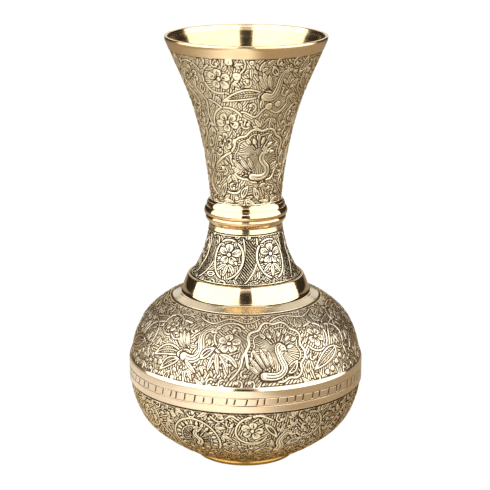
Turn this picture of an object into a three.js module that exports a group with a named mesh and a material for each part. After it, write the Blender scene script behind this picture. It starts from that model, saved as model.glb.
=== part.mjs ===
// Engraved brass flower vase with a round belly, a waisted neck and a trumpet mouth.
// Millimetres, +Z up, origin at the centre of the foot on the surface it stands on.
// Every piece is turned or raised about the Z axis, so each one is a closed
// cross-section revolved about Z. All share the same facet count and phase, which
// keeps the small fitting gaps between neighbours even all the way round.

import * as THREE from "three";

// ---------------------------------------------------------------- driving sizes
const FACETS = 48; // facets round the axis, shared by every piece
const GAP = 0.3; // clearance left for braze between neighbouring pieces

const HEIGHT = 250; // foot to lip
const LIP_R = 46.6; // greatest radius of the mouth
const TRUMPET_FOOT_Z = 155.6; // where the trumpet meets the collar
const TRUMPET_WALL = 1.8;

const COLLAR_TOP_Z = 155.3;
const COLLAR_SPLIT_Z = 146.0; // parting line between the two collar rings
const COLLAR_FOOT_Z = 140.95;
const COLLAR_BEAD_R = 24.2; // greatest radius of the collar

const SPIGOT_R = 19.8; // outside of the two spigots under the collar
const SPIGOT_BORE_R = 18.2;
const SPIGOT_MEET_Z = 148.05;

const NECK_TOP_Z = 140.65;
const NECK_TOP_R = 21.3;
const NECK_WALL = 1.8;
const SKIRT_R = 33.0; // plain skirt of the neck, hidden by the shoulder collar
const SKIRT_BORE_R = 31.0;

const SHOULDER_Z = 100.0; // flat seat on top of the bowl
const SHOULDER_TOP_Z = 109.6;
const SHOULDER_R = 37.0;
const SEAT_R = 38.4; // outer edge of the flat seat
const SEAT_BORE_R = 29.3; // opening from the neck into the bowl

const BOWL_WALL = 2.0;
const BELLY_R = 68.94; // outside of the belly band
const BAND_TOP_Z = 62.1;
const BAND_FOOT_Z = 47.3;
const BAND_GROOVE_Z = [55.9, 51.4]; // two turned grooves
const BAND_SEAT_R = 67.3; // turned-down seat of the band on both half bowls
const BELLY_MEET_Z = 54.0; // joint of the two half bowls, behind the band

const FOOT_R = 29.3;
const FOOT_BORE_R = 26.0;
const FOOT_H = 3.0;
const DISC_R = 27.2;
const DISC_T = 1.8;
const BASE_BORE_R = 27.5; // opening in the bottom of the lower bowl

// Outer curves as [radius, height] knots, bottom to top.
const TRUMPET_CURVE = [
  [20.65, TRUMPET_FOOT_Z],
  [21.37, 162.5],
  [22.95, 175.1],
  [25.14, 187.7],
  [27.99, 200.2],
  [31.8, 212.8],
  [36.7, 225.4],
  [42.26, 238.0],
  [46.35, 247.4],
];
const NECK_CURVE = [
  [SKIRT_R, 110.25],
  [30.31, 113.0],
  [27.36, 118.3],
  [25.08, 123.5],
  [23.46, 128.8],
  [22.28, 134.1],
  [NECK_TOP_R, NECK_TOP_Z],
];
const UPPER_BOWL_CURVE = [
  [68.0, 62.4],
  [66.09, 70.43],
  [63.63, 77.52],
  [59.56, 84.66],
  [52.32, 91.75],
  [46.6, 95.6],
  [42.9, 97.4],
];
const LOWER_BOWL_CURVE = [
  [30.1, 3.3],
  [32.8, 4.1],
  [37.9, 6.44],
  [48.94, 13.53],
  [57.38, 20.67],
  [62.51, 27.75],
  [65.61, 34.9],
  [67.85, 41.98],
  [68.38, 47.0],
];

// ---------------------------------------------------------------- materials
const engravedBrass = new THREE.MeshStandardMaterial({
  color: 0xb08f56,
  roughness: 0.42,
  metalness: 1,
});
const polishedBrass = new THREE.MeshStandardMaterial({
  color: 0xd8b26a,
  roughness: 0.16,
  metalness: 1,
});
const brazeMetal = new THREE.MeshStandardMaterial({
  color: 0xa88d5e,
  roughness: 0.55,
  metalness: 1,
});

// ---------------------------------------------------------------- helpers
// Smooth curve through knots, sampled with `per` spans between neighbouring knots.
function smooth(knots, per) {
  const curve = new THREE.SplineCurve(
    knots.map(([r, z]) => new THREE.Vector2(r, z)),
  );
  const n = (knots.length - 1) * per;
  return Array.from({ length: n + 1 }, (_, i) => {
    const p = curve.getPoint(i / n);
    return [p.x, p.y];
  });
}

// The same curve moved inwards by the wall thickness, square to the surface.
// For a curve running bottom to top the outward normal is (dz, -dr).
function inside(points, wall) {
  return points.map(([r, z], i) => {
    const a = points[Math.max(0, i - 1)];
    const b = points[Math.min(points.length - 1, i + 1)];
    const dr = b[0] - a[0];
    const dz = b[1] - a[1];
    const l = Math.hypot(dr, dz);
    return [r - (wall * dz) / l, z + (wall * dr) / l];
  });
}

// Revolves a closed cross-section, listed outside-up then inside-down, about Z.
function turned(name, section, material) {
  const points = section.map(([r, z]) => new THREE.Vector2(r, z));
  points.push(points[0].clone());
  const geometry = new THREE.LatheGeometry(points, FACETS);
  geometry.rotateX(Math.PI / 2);
  const mesh = new THREE.Mesh(geometry, material);
  mesh.name = name;
  return mesh;
}

const vase = new THREE.Group();

// ---------------------------------------------------------------- mouth_trumpet
// Flaring tube with a rounded lip. A thinner spigot below it slips into the collar.
{
  const outer = smooth(TRUMPET_CURVE, 1);
  const inner = inside(outer, TRUMPET_WALL).slice(1, -1).reverse();
  vase.add(
    turned(
      "mouth_trumpet",
      [
        [SPIGOT_R - 0.7, SPIGOT_MEET_Z + GAP / 2],
        [SPIGOT_R, SPIGOT_MEET_Z + GAP / 2],
        [SPIGOT_R, TRUMPET_FOOT_Z],
        ...outer,
        [LIP_R, HEIGHT - 0.7],
        [LIP_R - 0.3, HEIGHT - 0.15],
        [LIP_R - 0.9, HEIGHT],
        [LIP_R - 1.5, HEIGHT - 0.25],
        [LIP_R - 1.9, HEIGHT - 0.9],
        ...inner,
        [SPIGOT_BORE_R, TRUMPET_FOOT_Z - 0.6],
        [SPIGOT_BORE_R, SPIGOT_MEET_Z + 1.2],
      ],
      engravedBrass,
    ),
  );
}

// ---------------------------------------------------------------- collar rings
// Two rings sleeved over the spigots. The upper ring carries two beads, the lower
// ring one bead and a plain tapering strip.
vase.add(
  turned(
    "upper_collar_ring",
    [
      [SPIGOT_R + GAP, COLLAR_SPLIT_Z + GAP / 2],
      [23.4, COLLAR_SPLIT_Z + GAP / 2],
      [COLLAR_BEAD_R - 0.1, 146.9],
      [COLLAR_BEAD_R, 147.9],
      [23.8, 149.9],
      [23.0, 151.2],
      [22.75, 151.5],
      [22.6, 152.1],
      [22.2, 153.9],
      [21.5, 154.7],
      [20.95, COLLAR_TOP_Z],
      [SPIGOT_R + GAP, COLLAR_TOP_Z],
    ],
    polishedBrass,
  ),
  turned(
    "lower_collar_ring",
    [
      [SPIGOT_R + GAP, COLLAR_FOOT_Z],
      [21.25, COLLAR_FOOT_Z],
      [21.7, 141.45],
      [22.6, 143.1],
      [23.2, 143.85],
      [23.35, 144.6],
      [23.15, 145.5],
      [22.9, COLLAR_SPLIT_Z - GAP / 2],
      [SPIGOT_R + GAP, COLLAR_SPLIT_Z - GAP / 2],
    ],
    polishedBrass,
  ),
);

// ---------------------------------------------------------------- lower_neck
// Flared tube. Spigot at the top for the collar, straight skirt at the bottom that
// stands on the flat seat of the bowl.
{
  const outer = smooth(NECK_CURVE, 1);
  const inner = inside(outer, NECK_WALL).slice(1, -1).reverse();
  vase.add(
    turned(
      "lower_neck",
      [
        [SKIRT_R, SHOULDER_Z + GAP],
        ...outer,
        [SPIGOT_R, NECK_TOP_Z],
        [SPIGOT_R, SPIGOT_MEET_Z - GAP / 2],
        [SPIGOT_R - 0.7, SPIGOT_MEET_Z - GAP / 2],
        [SPIGOT_BORE_R, SPIGOT_MEET_Z - 1.2],
        [SPIGOT_BORE_R, NECK_TOP_Z - 0.6],
        ...inner,
        [SKIRT_BORE_R, 109.3],
        [SKIRT_BORE_R, SHOULDER_Z + GAP],
      ],
      engravedBrass,
    ),
  );
}

// ---------------------------------------------------------------- shoulder_collar
// Convex ring round the skirt, with a small cove where it meets the bowl.
vase.add(
  turned(
    "shoulder_collar",
    [
      [SKIRT_R + GAP, SHOULDER_Z + GAP],
      [SHOULDER_R, SHOULDER_Z + GAP],
      [SHOULDER_R - 0.05, 101.2],
      [SHOULDER_R - 0.45, 102.6],
      [35.9, 104.6],
      [35.05, 106.8],
      [34.3, 108.6],
      [33.85, SHOULDER_TOP_Z],
      [SKIRT_R + GAP, SHOULDER_TOP_Z],
    ],
    polishedBrass,
  ),
);

// ---------------------------------------------------------------- upper_bowl
// Dome from the belly joint up to the flat seat, with a seat for the belly band
// turned into its lower edge.
{
  const outer = smooth(UPPER_BOWL_CURVE, 1);
  const inner = inside(outer, BOWL_WALL).slice(1).reverse();
  vase.add(
    turned(
      "upper_bowl",
      [
        [BAND_SEAT_R - 0.8, BELLY_MEET_Z + GAP / 2],
        [BAND_SEAT_R, BELLY_MEET_Z + GAP / 2],
        [BAND_SEAT_R, 62.4],
        ...outer,
        [SEAT_R, SHOULDER_Z - 0.4],
        [SEAT_R - 0.5, SHOULDER_Z],
        [SEAT_BORE_R, SHOULDER_Z],
        [SEAT_BORE_R, SHOULDER_Z - BOWL_WALL],
        [36.6, 97.6],
        ...inner,
        [65.9, 62.0],
        [BAND_SEAT_R - 2.0, BELLY_MEET_Z + 1.3],
      ],
      engravedBrass,
    ),
  );
}

// ---------------------------------------------------------------- belly_band
// Flat band let into both half bowls, standing half a millimetre proud, with a
// bevelled top edge and two turned grooves.
vase.add(
  turned(
    "belly_band",
    [
      [BAND_SEAT_R + GAP, BAND_FOOT_Z],
      [BELLY_R - 0.15, BAND_FOOT_Z],
      [BELLY_R, BAND_FOOT_Z + 0.3],
      [BELLY_R, BAND_GROOVE_Z[1] - 0.35],
      [BELLY_R - 0.3, BAND_GROOVE_Z[1]],
      [BELLY_R, BAND_GROOVE_Z[1] + 0.35],
      [BELLY_R, BAND_GROOVE_Z[0] - 0.35],
      [BELLY_R - 0.3, BAND_GROOVE_Z[0]],
      [BELLY_R, BAND_GROOVE_Z[0] + 0.35],
      [BELLY_R - 0.1, 60.2],
      [BELLY_R - 0.75, BAND_TOP_Z],
      [BAND_SEAT_R + GAP, BAND_TOP_Z],
    ],
    polishedBrass,
  ),
);

// ---------------------------------------------------------------- lower_bowl
// Cup from the foot up to the belly joint, open at the bottom for the base disc.
{
  const outer = smooth(LOWER_BOWL_CURVE, 1);
  const inner = inside(outer, BOWL_WALL).slice(2, -1).reverse();
  vase.add(
    turned(
      "lower_bowl",
      [
        [BASE_BORE_R, FOOT_H + GAP],
        ...outer,
        [BAND_SEAT_R, 47.0],
        [BAND_SEAT_R, BELLY_MEET_Z - GAP / 2],
        [BAND_SEAT_R - 0.8, BELLY_MEET_Z - GAP / 2],
        [BAND_SEAT_R - 2.0, BELLY_MEET_Z - 1.3],
        [66.3, 46.0],
        ...inner,
        [BASE_BORE_R, FOOT_H + GAP + BOWL_WALL],
      ],
      engravedBrass,
    ),
  );
}

// ---------------------------------------------------------------- foot and base
// Plain ring with a flat underside, and the disc that closes the vase, resting on
// the ring's inner edge inside the opening of the lower bowl.
vase.add(
  turned(
    "foot_ring",
    [
      [FOOT_BORE_R, 0],
      [FOOT_R - 0.3, 0],
      [FOOT_R, 0.4],
      [FOOT_R, 1.6],
      [FOOT_R - 0.35, 2.5],
      [FOOT_R - 0.5, FOOT_H],
      [FOOT_BORE_R, FOOT_H],
    ],
    polishedBrass,
  ),
  turned(
    "base_disc",
    [
      [0, FOOT_H + GAP],
      [DISC_R, FOOT_H + GAP],
      [DISC_R, FOOT_H + GAP + DISC_T],
      [0, FOOT_H + GAP + DISC_T],
    ],
    polishedBrass,
  ),
);

// ---------------------------------------------------------------- braze
// Rings of braze that fill the inner grooves and corners of the four joints.
const discTop = FOOT_H + GAP + DISC_T;
vase.add(
  turned(
    "braze_neck",
    [
      [SPIGOT_BORE_R + 0.1, SPIGOT_MEET_Z - 0.85],
      [SPIGOT_R - 0.85, SPIGOT_MEET_Z],
      [SPIGOT_BORE_R + 0.1, SPIGOT_MEET_Z + 0.85],
    ],
    brazeMetal,
  ),
  turned(
    "braze_shoulder",
    [
      [SKIRT_BORE_R - 1.5, SHOULDER_Z + GAP],
      [SKIRT_BORE_R - GAP, SHOULDER_Z + GAP],
      [SKIRT_BORE_R - GAP, SHOULDER_Z + 1.9],
      [SKIRT_BORE_R - 0.9, SHOULDER_Z + 0.95],
    ],
    brazeMetal,
  ),
  turned(
    "braze_belly",
    [
      [BAND_SEAT_R - 2.0, BELLY_MEET_Z - 0.9],
      [BAND_SEAT_R - 0.95, BELLY_MEET_Z],
      [BAND_SEAT_R - 2.0, BELLY_MEET_Z + 0.9],
    ],
    brazeMetal,
  ),
  turned(
    "braze_base",
    [
      [BASE_BORE_R - 1.8, discTop + GAP],
      [BASE_BORE_R - GAP, discTop + GAP],
      [BASE_BORE_R + 0.35, discTop + 1.1],
      [BASE_BORE_R - 0.6, discTop + 0.95],
    ],
    brazeMetal,
  ),
);

export default vase;
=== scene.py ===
import math

import bpy
import numpy as np
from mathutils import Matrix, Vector


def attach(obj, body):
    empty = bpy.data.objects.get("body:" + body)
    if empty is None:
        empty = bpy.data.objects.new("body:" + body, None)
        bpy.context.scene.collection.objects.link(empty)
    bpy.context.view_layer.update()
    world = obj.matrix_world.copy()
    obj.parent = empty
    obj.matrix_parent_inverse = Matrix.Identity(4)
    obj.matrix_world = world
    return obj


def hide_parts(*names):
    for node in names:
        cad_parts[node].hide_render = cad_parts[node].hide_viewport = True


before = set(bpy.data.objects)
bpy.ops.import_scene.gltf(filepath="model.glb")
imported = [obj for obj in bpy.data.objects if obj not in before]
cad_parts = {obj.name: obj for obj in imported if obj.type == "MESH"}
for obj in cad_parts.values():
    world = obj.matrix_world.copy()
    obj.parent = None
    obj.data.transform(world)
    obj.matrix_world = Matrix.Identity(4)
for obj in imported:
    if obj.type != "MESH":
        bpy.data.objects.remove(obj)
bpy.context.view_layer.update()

# PATTERN-BEGIN
MM = 0.001

# ------------------------------------------------------------------ profiles (radius, height), mm
TRUMPET = [(20.65, 155.45), (21.37, 162.5), (22.95, 175.1), (25.14, 187.7), (27.99, 200.2),
           (31.8, 212.8), (36.7, 225.4), (42.26, 238.0), (46.38, 247.5)]
NECK = [(32.95, 110.3), (30.31, 113.0), (27.36, 118.3), (25.08, 123.5), (23.46, 128.8),
        (22.28, 134.1), (21.3, 140.8)]
UPPER = [(68.35, 62.2), (67.89, 63.4), (66.09, 70.43), (63.63, 77.52), (59.56, 84.66),
         (52.32, 91.75), (46.9, 95.5), (42.9, 97.4)]
LOWER = [(30.0, 3.15), (32.8, 4.1), (37.9, 6.44), (48.94, 13.53), (57.38, 20.67), (62.51, 27.75),
         (65.61, 34.9), (67.6, 41.98), (68.35, 47.2)]


def resample(p, count):
    s = np.r_[0, np.cumsum(np.hypot(*np.diff(p, axis=0).T))]
    q = np.linspace(0, s[-1], count)
    return np.c_[np.interp(q, s, p[:, 0]), np.interp(q, s, p[:, 1])]


def natural(knots, count, dense=1200):
    """Natural cubic spline through 2-D knots, as points evenly spaced along it."""
    k = np.array(knots, float)
    t = np.r_[0, np.cumsum(np.hypot(*np.diff(k, axis=0).T))]
    n, h = len(t), np.diff(t)
    a, b = np.eye(n), np.zeros((n, 2))
    for i in range(1, n - 1):
        a[i, i - 1], a[i, i], a[i, i + 1] = h[i - 1], 2 * (h[i - 1] + h[i]), h[i]
        b[i] = 6 * ((k[i + 1] - k[i]) / h[i] - (k[i] - k[i - 1]) / h[i - 1])
    m = np.linalg.solve(a, b)
    q = np.linspace(0, t[-1], dense)
    i = np.clip(np.searchsorted(t, q, side="right") - 1, 0, n - 2)
    u, v = ((t[i + 1] - q) / h[i])[:, None], ((q - t[i]) / h[i])[:, None]
    p = u * k[i] + v * k[i + 1] + ((u**3 - u) * m[i] + (v**3 - v) * m[i + 1]) * (h[i] ** 2)[:, None] / 6
    return resample(p, count)


def spl(pts, count=22):
    return natural(pts, count, dense=160)


def arc(cx, cy, r, a0, a1, count=30):
    a = np.radians(np.linspace(a0, a1, count))
    return np.c_[cx + r * np.cos(a), cy + r * np.sin(a)]


def step(x, lo, hi):
    t = np.clip((x - lo) / (hi - lo), 0, 1)
    return t * t * (3 - 2 * t)


# ------------------------------------------------------------------ ornament canvas
class Canvas:
    """The engraved zone of one piece, unrolled: columns run round the axis, rows up the profile.

    R is the signed distance to the edge of the raised work (positive on it), G the same for cuts in
    it, P the phase of the chisel hatching in periods and A the depth of that hatching."""

    def __init__(self, ncol, prof, seed):
        self.n, self.prof = ncol, prof
        self.s = np.r_[0, np.cumsum(np.hypot(*np.diff(prof, axis=0).T))]
        self.r, self.z = prof[:, 0], prof[:, 1]
        self.th = np.linspace(-math.pi, math.pi, ncol, endpoint=False)
        m = len(prof)
        self.R = np.full((m, ncol), -4.0)
        self.G = np.full((m, ncol), -4.0)
        self.P = np.zeros((m, ncol))
        self.A = np.ones((m, ncol))
        self.rng = np.random.default_rng(seed)

    def s_of(self, z):
        order = np.argsort(self.z)
        return float(np.interp(z, self.z[order], self.s[order]))

    def window(self, th0, s0, pts, pad):
        lo, hi = pts.min(0) - pad, pts.max(0) + pad
        rows = np.nonzero((self.s >= s0 + lo[1]) & (self.s <= s0 + hi[1]))[0]
        if not len(rows):
            return None
        rmin = self.r[rows].min()
        step_th = 2 * math.pi / self.n
        i0 = math.floor((th0 + lo[0] / rmin + math.pi) / step_th)
        i1 = math.ceil((th0 + hi[0] / rmin + math.pi) / step_th)
        if i1 - i0 >= self.n:
            i1 = i0 + self.n - 1
        cols = np.arange(i0, i1 + 1)
        x = (cols * step_th - math.pi - th0)[None, :] * self.r[rows][:, None]
        y = np.broadcast_to((self.s[rows] - s0)[:, None], x.shape)
        return np.ix_(rows, cols % self.n), x, y

    @staticmethod
    def dist(x, y, pts, half=None):
        """Signed distance to a stroke: half width (one number, or one per point) minus distance."""
        best = np.full(x.shape, -1e9)
        w = np.full(len(pts), 0.0) if half is None else np.broadcast_to(np.asarray(half, float), len(pts))
        for (ax, ay), (bx, by), wa, wb in zip(pts[:-1], pts[1:], w[:-1], w[1:]):
            dx, dy = bx - ax, by - ay
            l2 = dx * dx + dy * dy + 1e-12
            t = np.clip(((x - ax) * dx + (y - ay) * dy) / l2, 0, 1)
            d = np.hypot(x - ax - t * dx, y - ay - t * dy)
            np.maximum(best, wa + (wb - wa) * t - d, out=best)
        return best

    @staticmethod
    def poly(x, y, pts):
        """Signed distance to a closed outline, positive inside."""
        d = np.full(x.shape, 1e9)
        odd = np.zeros(x.shape, bool)
        q = np.roll(pts, -1, axis=0)
        for (ax, ay), (bx, by) in zip(pts, q):
            dx, dy = bx - ax, by - ay
            l2 = dx * dx + dy * dy + 1e-12
            t = np.clip(((x - ax) * dx + (y - ay) * dy) / l2, 0, 1)
            np.minimum(d, np.hypot(x - ax - t * dx, y - ay - t * dy), out=d)
            if ay != by:
                odd ^= ((ay > y) != (by > y)) & (x < (bx - ax) * (y - ay) / (by - ay) + ax)
        return np.where(odd, d, -d)


class Pen:
    """Draws in its own axes (x round the vase, y up), turned, scaled or mirrored, at one place."""

    def __init__(self, c, deg, s, rot=0.0, k=1.0, flip=False):
        self.c, self.th, self.s0 = c, math.radians(deg), s
        a = math.radians(rot)
        f = -1.0 if flip else 1.0
        self.m = np.array([[math.cos(a) * k, -math.sin(a) * k], [math.sin(a) * k, math.cos(a) * k]]) @ np.diag([f, 1.0])
        self.k = k

    def at(self, x, y, rot=0.0, k=1.0, flip=False):
        """A pen with its axes moved to (x, y) of this one's."""
        p = Pen.__new__(Pen)
        p.c, p.th, p.s0, p.k = self.c, self.th, self.s0, self.k * k
        a = math.radians(rot)
        f = -1.0 if flip else 1.0
        p.m = self.m @ np.array([[math.cos(a) * k, -math.sin(a) * k], [math.sin(a) * k, math.cos(a) * k]]) @ np.diag([f, 1.0])
        p.off = self.pts(np.array([[x, y]]))[0]
        return p

    off = np.zeros(2)

    def pts(self, pts):
        return np.asarray(pts, float) @ self.m.T + self.off

    def _sd(self, pts, kind, half, pad):
        q = self.pts(pts)
        w = self.c.window(self.th, self.s0, q, pad)
        if w is None:
            return None
        ix, x, y = w
        sd = self.c.poly(x, y, q) if kind == "poly" else self.c.dist(x, y, q, half)
        return ix, sd, x, y

    def clear(self, pts, margin=0.5, kind="poly", half=None):
        got = self._sd(pts, kind, half, 3.0)
        if got:
            ix, sd, _, _ = got
            self.c.R[ix] = np.minimum(self.c.R[ix], -(sd + margin))
            self.c.G[ix] = np.minimum(self.c.G[ix], -(sd + margin))

    def ridge(self, pts, w=0.9, clear=0.0):
        """A raised line; w is its width, or one width per point."""
        half = np.asarray(w, float) / 2
        got = self._sd(pts, "line", half, 3.5)
        if got:
            ix, sd, _, _ = got
            if clear:
                self.c.R[ix] = np.minimum(self.c.R[ix], -(sd + clear))
                self.c.G[ix] = np.minimum(self.c.G[ix], -(sd + clear))
            self.c.R[ix] = np.maximum(self.c.R[ix], sd)

    def fill(self, pts, clear=0.45):
        got = self._sd(pts, "poly", None, 3.5)
        if got:
            ix, sd, _, _ = got
            if clear:
                self.c.R[ix] = np.minimum(self.c.R[ix], -(sd + clear))
                self.c.G[ix] = np.minimum(self.c.G[ix], -(sd + clear))
            self.c.R[ix] = np.maximum(self.c.R[ix], sd)

    def sink(self, pts, inset=0.0):
        """Lowers the inside of an outline back to the ground, leaving a rim of width inset."""
        got = self._sd(pts, "poly", None, 1.0)
        if got:
            ix, sd, _, _ = got
            self.c.R[ix] = np.minimum(self.c.R[ix], -(sd - inset))

    def hold(self, pts):
        """Keeps later filling out of an outline, so that its hatching stays open."""
        got = self._sd(pts, "poly", None, 0.5)
        if got:
            ix, sd, _, _ = got
            self.c.R[ix] = np.where(sd > 0, np.maximum(self.c.R[ix], -1.3), self.c.R[ix])

    def cut(self, pts, w=0.3):
        half = np.asarray(w, float) / 2
        got = self._sd(pts, "line", half, 1.2)
        if got:
            ix, sd, _, _ = got
            self.c.G[ix] = np.maximum(self.c.G[ix], sd)

    def hatch(self, pts, deg, pitch=1.1, inset=0.0, amp=1.0, fan=None):
        """Sets the chisel direction inside an outline: straight lines whose normal is at deg in the
        pen's axes, or a fan of deg strokes about a point."""
        got = self._sd(pts, "poly", None, 0.5)
        if got:
            ix, sd, x, y = got
            inside = sd > inset
            if fan is None:
                a = math.radians(deg)
                v = self.m @ np.array([math.cos(a), math.sin(a)])
                v /= np.hypot(*v)
                ph = (x * v[0] + y * v[1]) / pitch
            else:
                fx, fy = self.pts(np.array([fan]))[0]
                ph = np.arctan2(y - fy, x - fx) * deg / (2 * math.pi)
            self.c.P[ix] = np.where(inside, ph, self.c.P[ix])
            self.c.A[ix] = np.where(inside, amp, self.c.A[ix])


# ------------------------------------------------------------------ motifs
def circle(r, count=14, cx=0.0, cy=0.0):
    a = np.radians(np.linspace(0, 360, count, endpoint=False))
    return np.c_[cx + r * np.cos(a), cy + r * np.sin(a)]


def leaf_outline(length, width, bend=0.0, count=15, tip=0.8):
    t = np.linspace(0, 1, count)
    half = width / 2 * np.sin(math.pi * t**tip) ** 0.85
    x = length * t
    y = bend * np.sin(math.pi * t)
    top, bot = np.c_[x, y + half], np.c_[x, y - half]
    return np.r_[top, bot[-2:0:-1]], np.c_[x, y], top, bot


def leaf(p, length=9.0, width=4.2, bend=0.8, rim=0.85, pitch=1.15, midrib=0.75):
    """A big leaf: raised rim and midrib, with veins chased slantwise on both sides of it."""
    out, mid, top, bot = leaf_outline(length, width, bend)
    p.fill(out, clear=0.6)
    p.sink(out, inset=rim)
    p.hatch(np.r_[top, mid[-2:0:-1]], -38, pitch, inset=-0.2, amp=1.25)
    p.hatch(np.r_[bot, mid[-2:0:-1]], 38, pitch, inset=-0.2, amp=1.25)
    if midrib:
        p.ridge(mid[:-1], np.linspace(midrib, midrib * 0.55, len(mid) - 1))


def drop(p, length=4.0, width=1.9, bend=0.25, cut=True):
    """A small solid leaf with one cut down the middle."""
    out, mid, _, _ = leaf_outline(length, width, bend, count=9)
    p.fill(out, clear=0.45)
    if cut:
        p.cut(mid[1:-2], 0.36)


def feather(p, length=10.0, width=2.7, bend=0.4):
    """A long wing feather: raised edges and quill with two deep cuts between them."""
    out, mid, top, bot = leaf_outline(length, width, bend, count=13, tip=1.25)
    p.fill(out, clear=0.5)
    p.cut((mid * 0.52 + top * 0.48)[2:-2], 0.34)
    p.cut((mid * 0.52 + bot * 0.48)[2:-2], 0.34)


def bud(p, size=2.0):
    a = np.radians(np.linspace(0, 360, 12, endpoint=False))
    out = np.c_[size * 0.55 * (1 + np.cos(a)), size * 0.46 * np.sin(a) * (1.15 - 0.3 * np.cos(a))]
    p.fill(out, clear=0.4)
    if size > 2.2:
        p.cut([(0.2 * size, 0), (0.65 * size, 0)], 0.3)


def flower(p, size=4.2, petals=5):
    """An open flower: waved petals of unequal length round a small boss, each with chased lines."""
    p.clear(circle(size * 0.92, 20), margin=0.5)
    b = np.radians(np.linspace(0, 360, 21, endpoint=False))
    seed = int(abs(size * 97 + petals * 13)) % 7
    turns = []
    for i in range(petals):
        k = math.sin(2.3 * i + seed)
        t = 2 * math.pi * i / petals + 0.10 * k
        reach = 1.0 + 0.09 * math.sin(3.7 * i + 1.3 * seed)
        turns.append((t, reach))
        along, across = size * 0.38 * reach, size * (0.33 if petals <= 5 else 0.265) * (1 + 0.08 * k)
        tip = np.exp(-(np.minimum(b, 2 * math.pi - b) ** 2) / 0.10)
        wave = 1 - 0.20 * tip + 0.07 * np.cos(5 * b)
        x = size * 0.61 * reach + along * np.cos(b) * wave
        y = across * np.sin(b) * (1 + 0.22 * np.cos(b)) * (1 + 0.05 * np.cos(7 * b))
        p.fill(np.c_[x * math.cos(t) - y * math.sin(t), x * math.sin(t) + y * math.cos(t)], clear=0.0)
    for i, (t, reach) in enumerate(turns):
        t1, _ = turns[(i + 1) % petals]
        h = (t + t1 + (2 * math.pi if t1 < t else 0)) / 2
        c, s = math.cos(h), math.sin(h)
        p.cut([(size * 0.2 * c, size * 0.2 * s), (size * 0.98 * c, size * 0.98 * s)], 0.46)
        for dt, r1 in (((0, 0.72),) if size < 5 else ((-0.20, 0.70), (0.0, 0.84), (0.20, 0.70))):
            c, s = math.cos(t + dt), math.sin(t + dt)
            p.cut([(size * 0.33 * c, size * 0.33 * s), (size * r1 * reach * c, size * r1 * reach * s)], 0.30)
    p.clear(circle(size * 0.23, 12), margin=0.3)
    p.fill(circle(max(0.5, size * 0.17), 10), clear=0)


def scroll(p, r, a0, a1, w=1.1, leaves=(), tail=None, inner=()):
    """A vine curled round a circle, with small leaves outside and inside it."""
    p.ridge(arc(0, 0, r, a0, a1, 36), w, clear=0.55)
    if tail is not None:
        p.ridge(spl(tail, 20), np.linspace(w, w * 0.7, 20), clear=0.45)
    for a in leaves:
        t = math.radians(a)
        drop(p.at(r * math.cos(t), r * math.sin(t), a + 38), 4.0, 2.1, 0.3)
    for a in inner:
        t = math.radians(a)
        drop(p.at((r - 0.3) * math.cos(t), (r - 0.3) * math.sin(t), a + 152), 2.6, 1.5, 0.2, cut=False)


def frond(p, line, w=2.5, buds=2):
    """A long narrow blade along a curve, with a cut down its middle and small buds beside it."""
    c = spl(line, 26)
    d = np.gradient(c, axis=0)
    t = np.linspace(0, 1, 26)
    for i in range(buds):
        q = 7 + i * 8
        a = math.degrees(math.atan2(d[q, 1], d[q, 0]))
        sgn = 1 if i % 2 else -1
        drop(p.at(*c[q], a + sgn * 58), w * 1.5, w * 0.62, 0.15 * sgn, cut=False)
    p.ridge(c, 0.5 + (w - 0.5) * np.sin(math.pi * t**0.9) ** 0.8, clear=0.45)
    p.cut(c[4:-4], 0.42)


def spray(p, n=4, length=7.0, spread=70, curl=1.0):
    """A stem that ends in a fan of narrow leaves and buds."""
    p.ridge(spl([(0, 0), (length * 0.35, 0.5 * curl), (length * 0.75, 0)], 12), np.linspace(0.95, 0.6, 12), clear=0.35)
    for a in np.linspace(-spread, spread, n):
        q = p.at(length * 0.3 + length * 0.4 * (1 - abs(a) / (spread + 1e-6)), 0, a * 0.8)
        drop(q, length * (0.6 if abs(a) > spread * 0.6 else 0.68), 1.8, 0.25 * (1 if a > 0 else -1))


def neck_and_head(p, line, w0=4.4, w1=2.6, beak=1.0):
    """An S-shaped bird's neck, from chest to head: raised edges and middle with deep cuts between."""
    c = spl(line, 30)
    w = np.linspace(w0, w1, 30)
    p.ridge(c, w, clear=0.95)
    d = np.gradient(c, axis=0)
    nrm = np.c_[-d[:, 1], d[:, 0]] / np.hypot(*d.T)[:, None]
    for sgn in ((1, -1) if w0 > 4 else (0,)):
        p.cut((c + nrm * sgn * (w[:, None] * 0.22))[1:-2], 0.46)
    hx, hy = c[-1]
    t = math.degrees(math.atan2(d[-1, 1], d[-1, 0]))
    q = p.at(hx, hy, t)
    r = w1 * 0.5
    q.fill(circle(r, 14, 0.2) * np.array([1.15, 1.0]), clear=0.35)
    q.fill(np.array([(r * 0.8, r * 0.55), (r + 2.2 * beak, -0.1), (r * 0.8, -r * 0.55)]), clear=0.0)
    q.clear(circle(0.34, 10, 0.4, 0.1), margin=0.12)
    return q


def crest(q, side=1, size=1.0):
    for a in (55, 85, 115):
        t = math.radians(a * side)
        x, y = 0.2 + 3.3 * size * math.cos(t), 3.3 * size * math.sin(t)
        q.ridge([(0.2 + 1.3 * math.cos(t), 1.3 * math.sin(t)), (x, y)], 0.5, clear=0.2)
        q.fill(circle(0.62, 8, x, y), clear=0.2)


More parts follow.
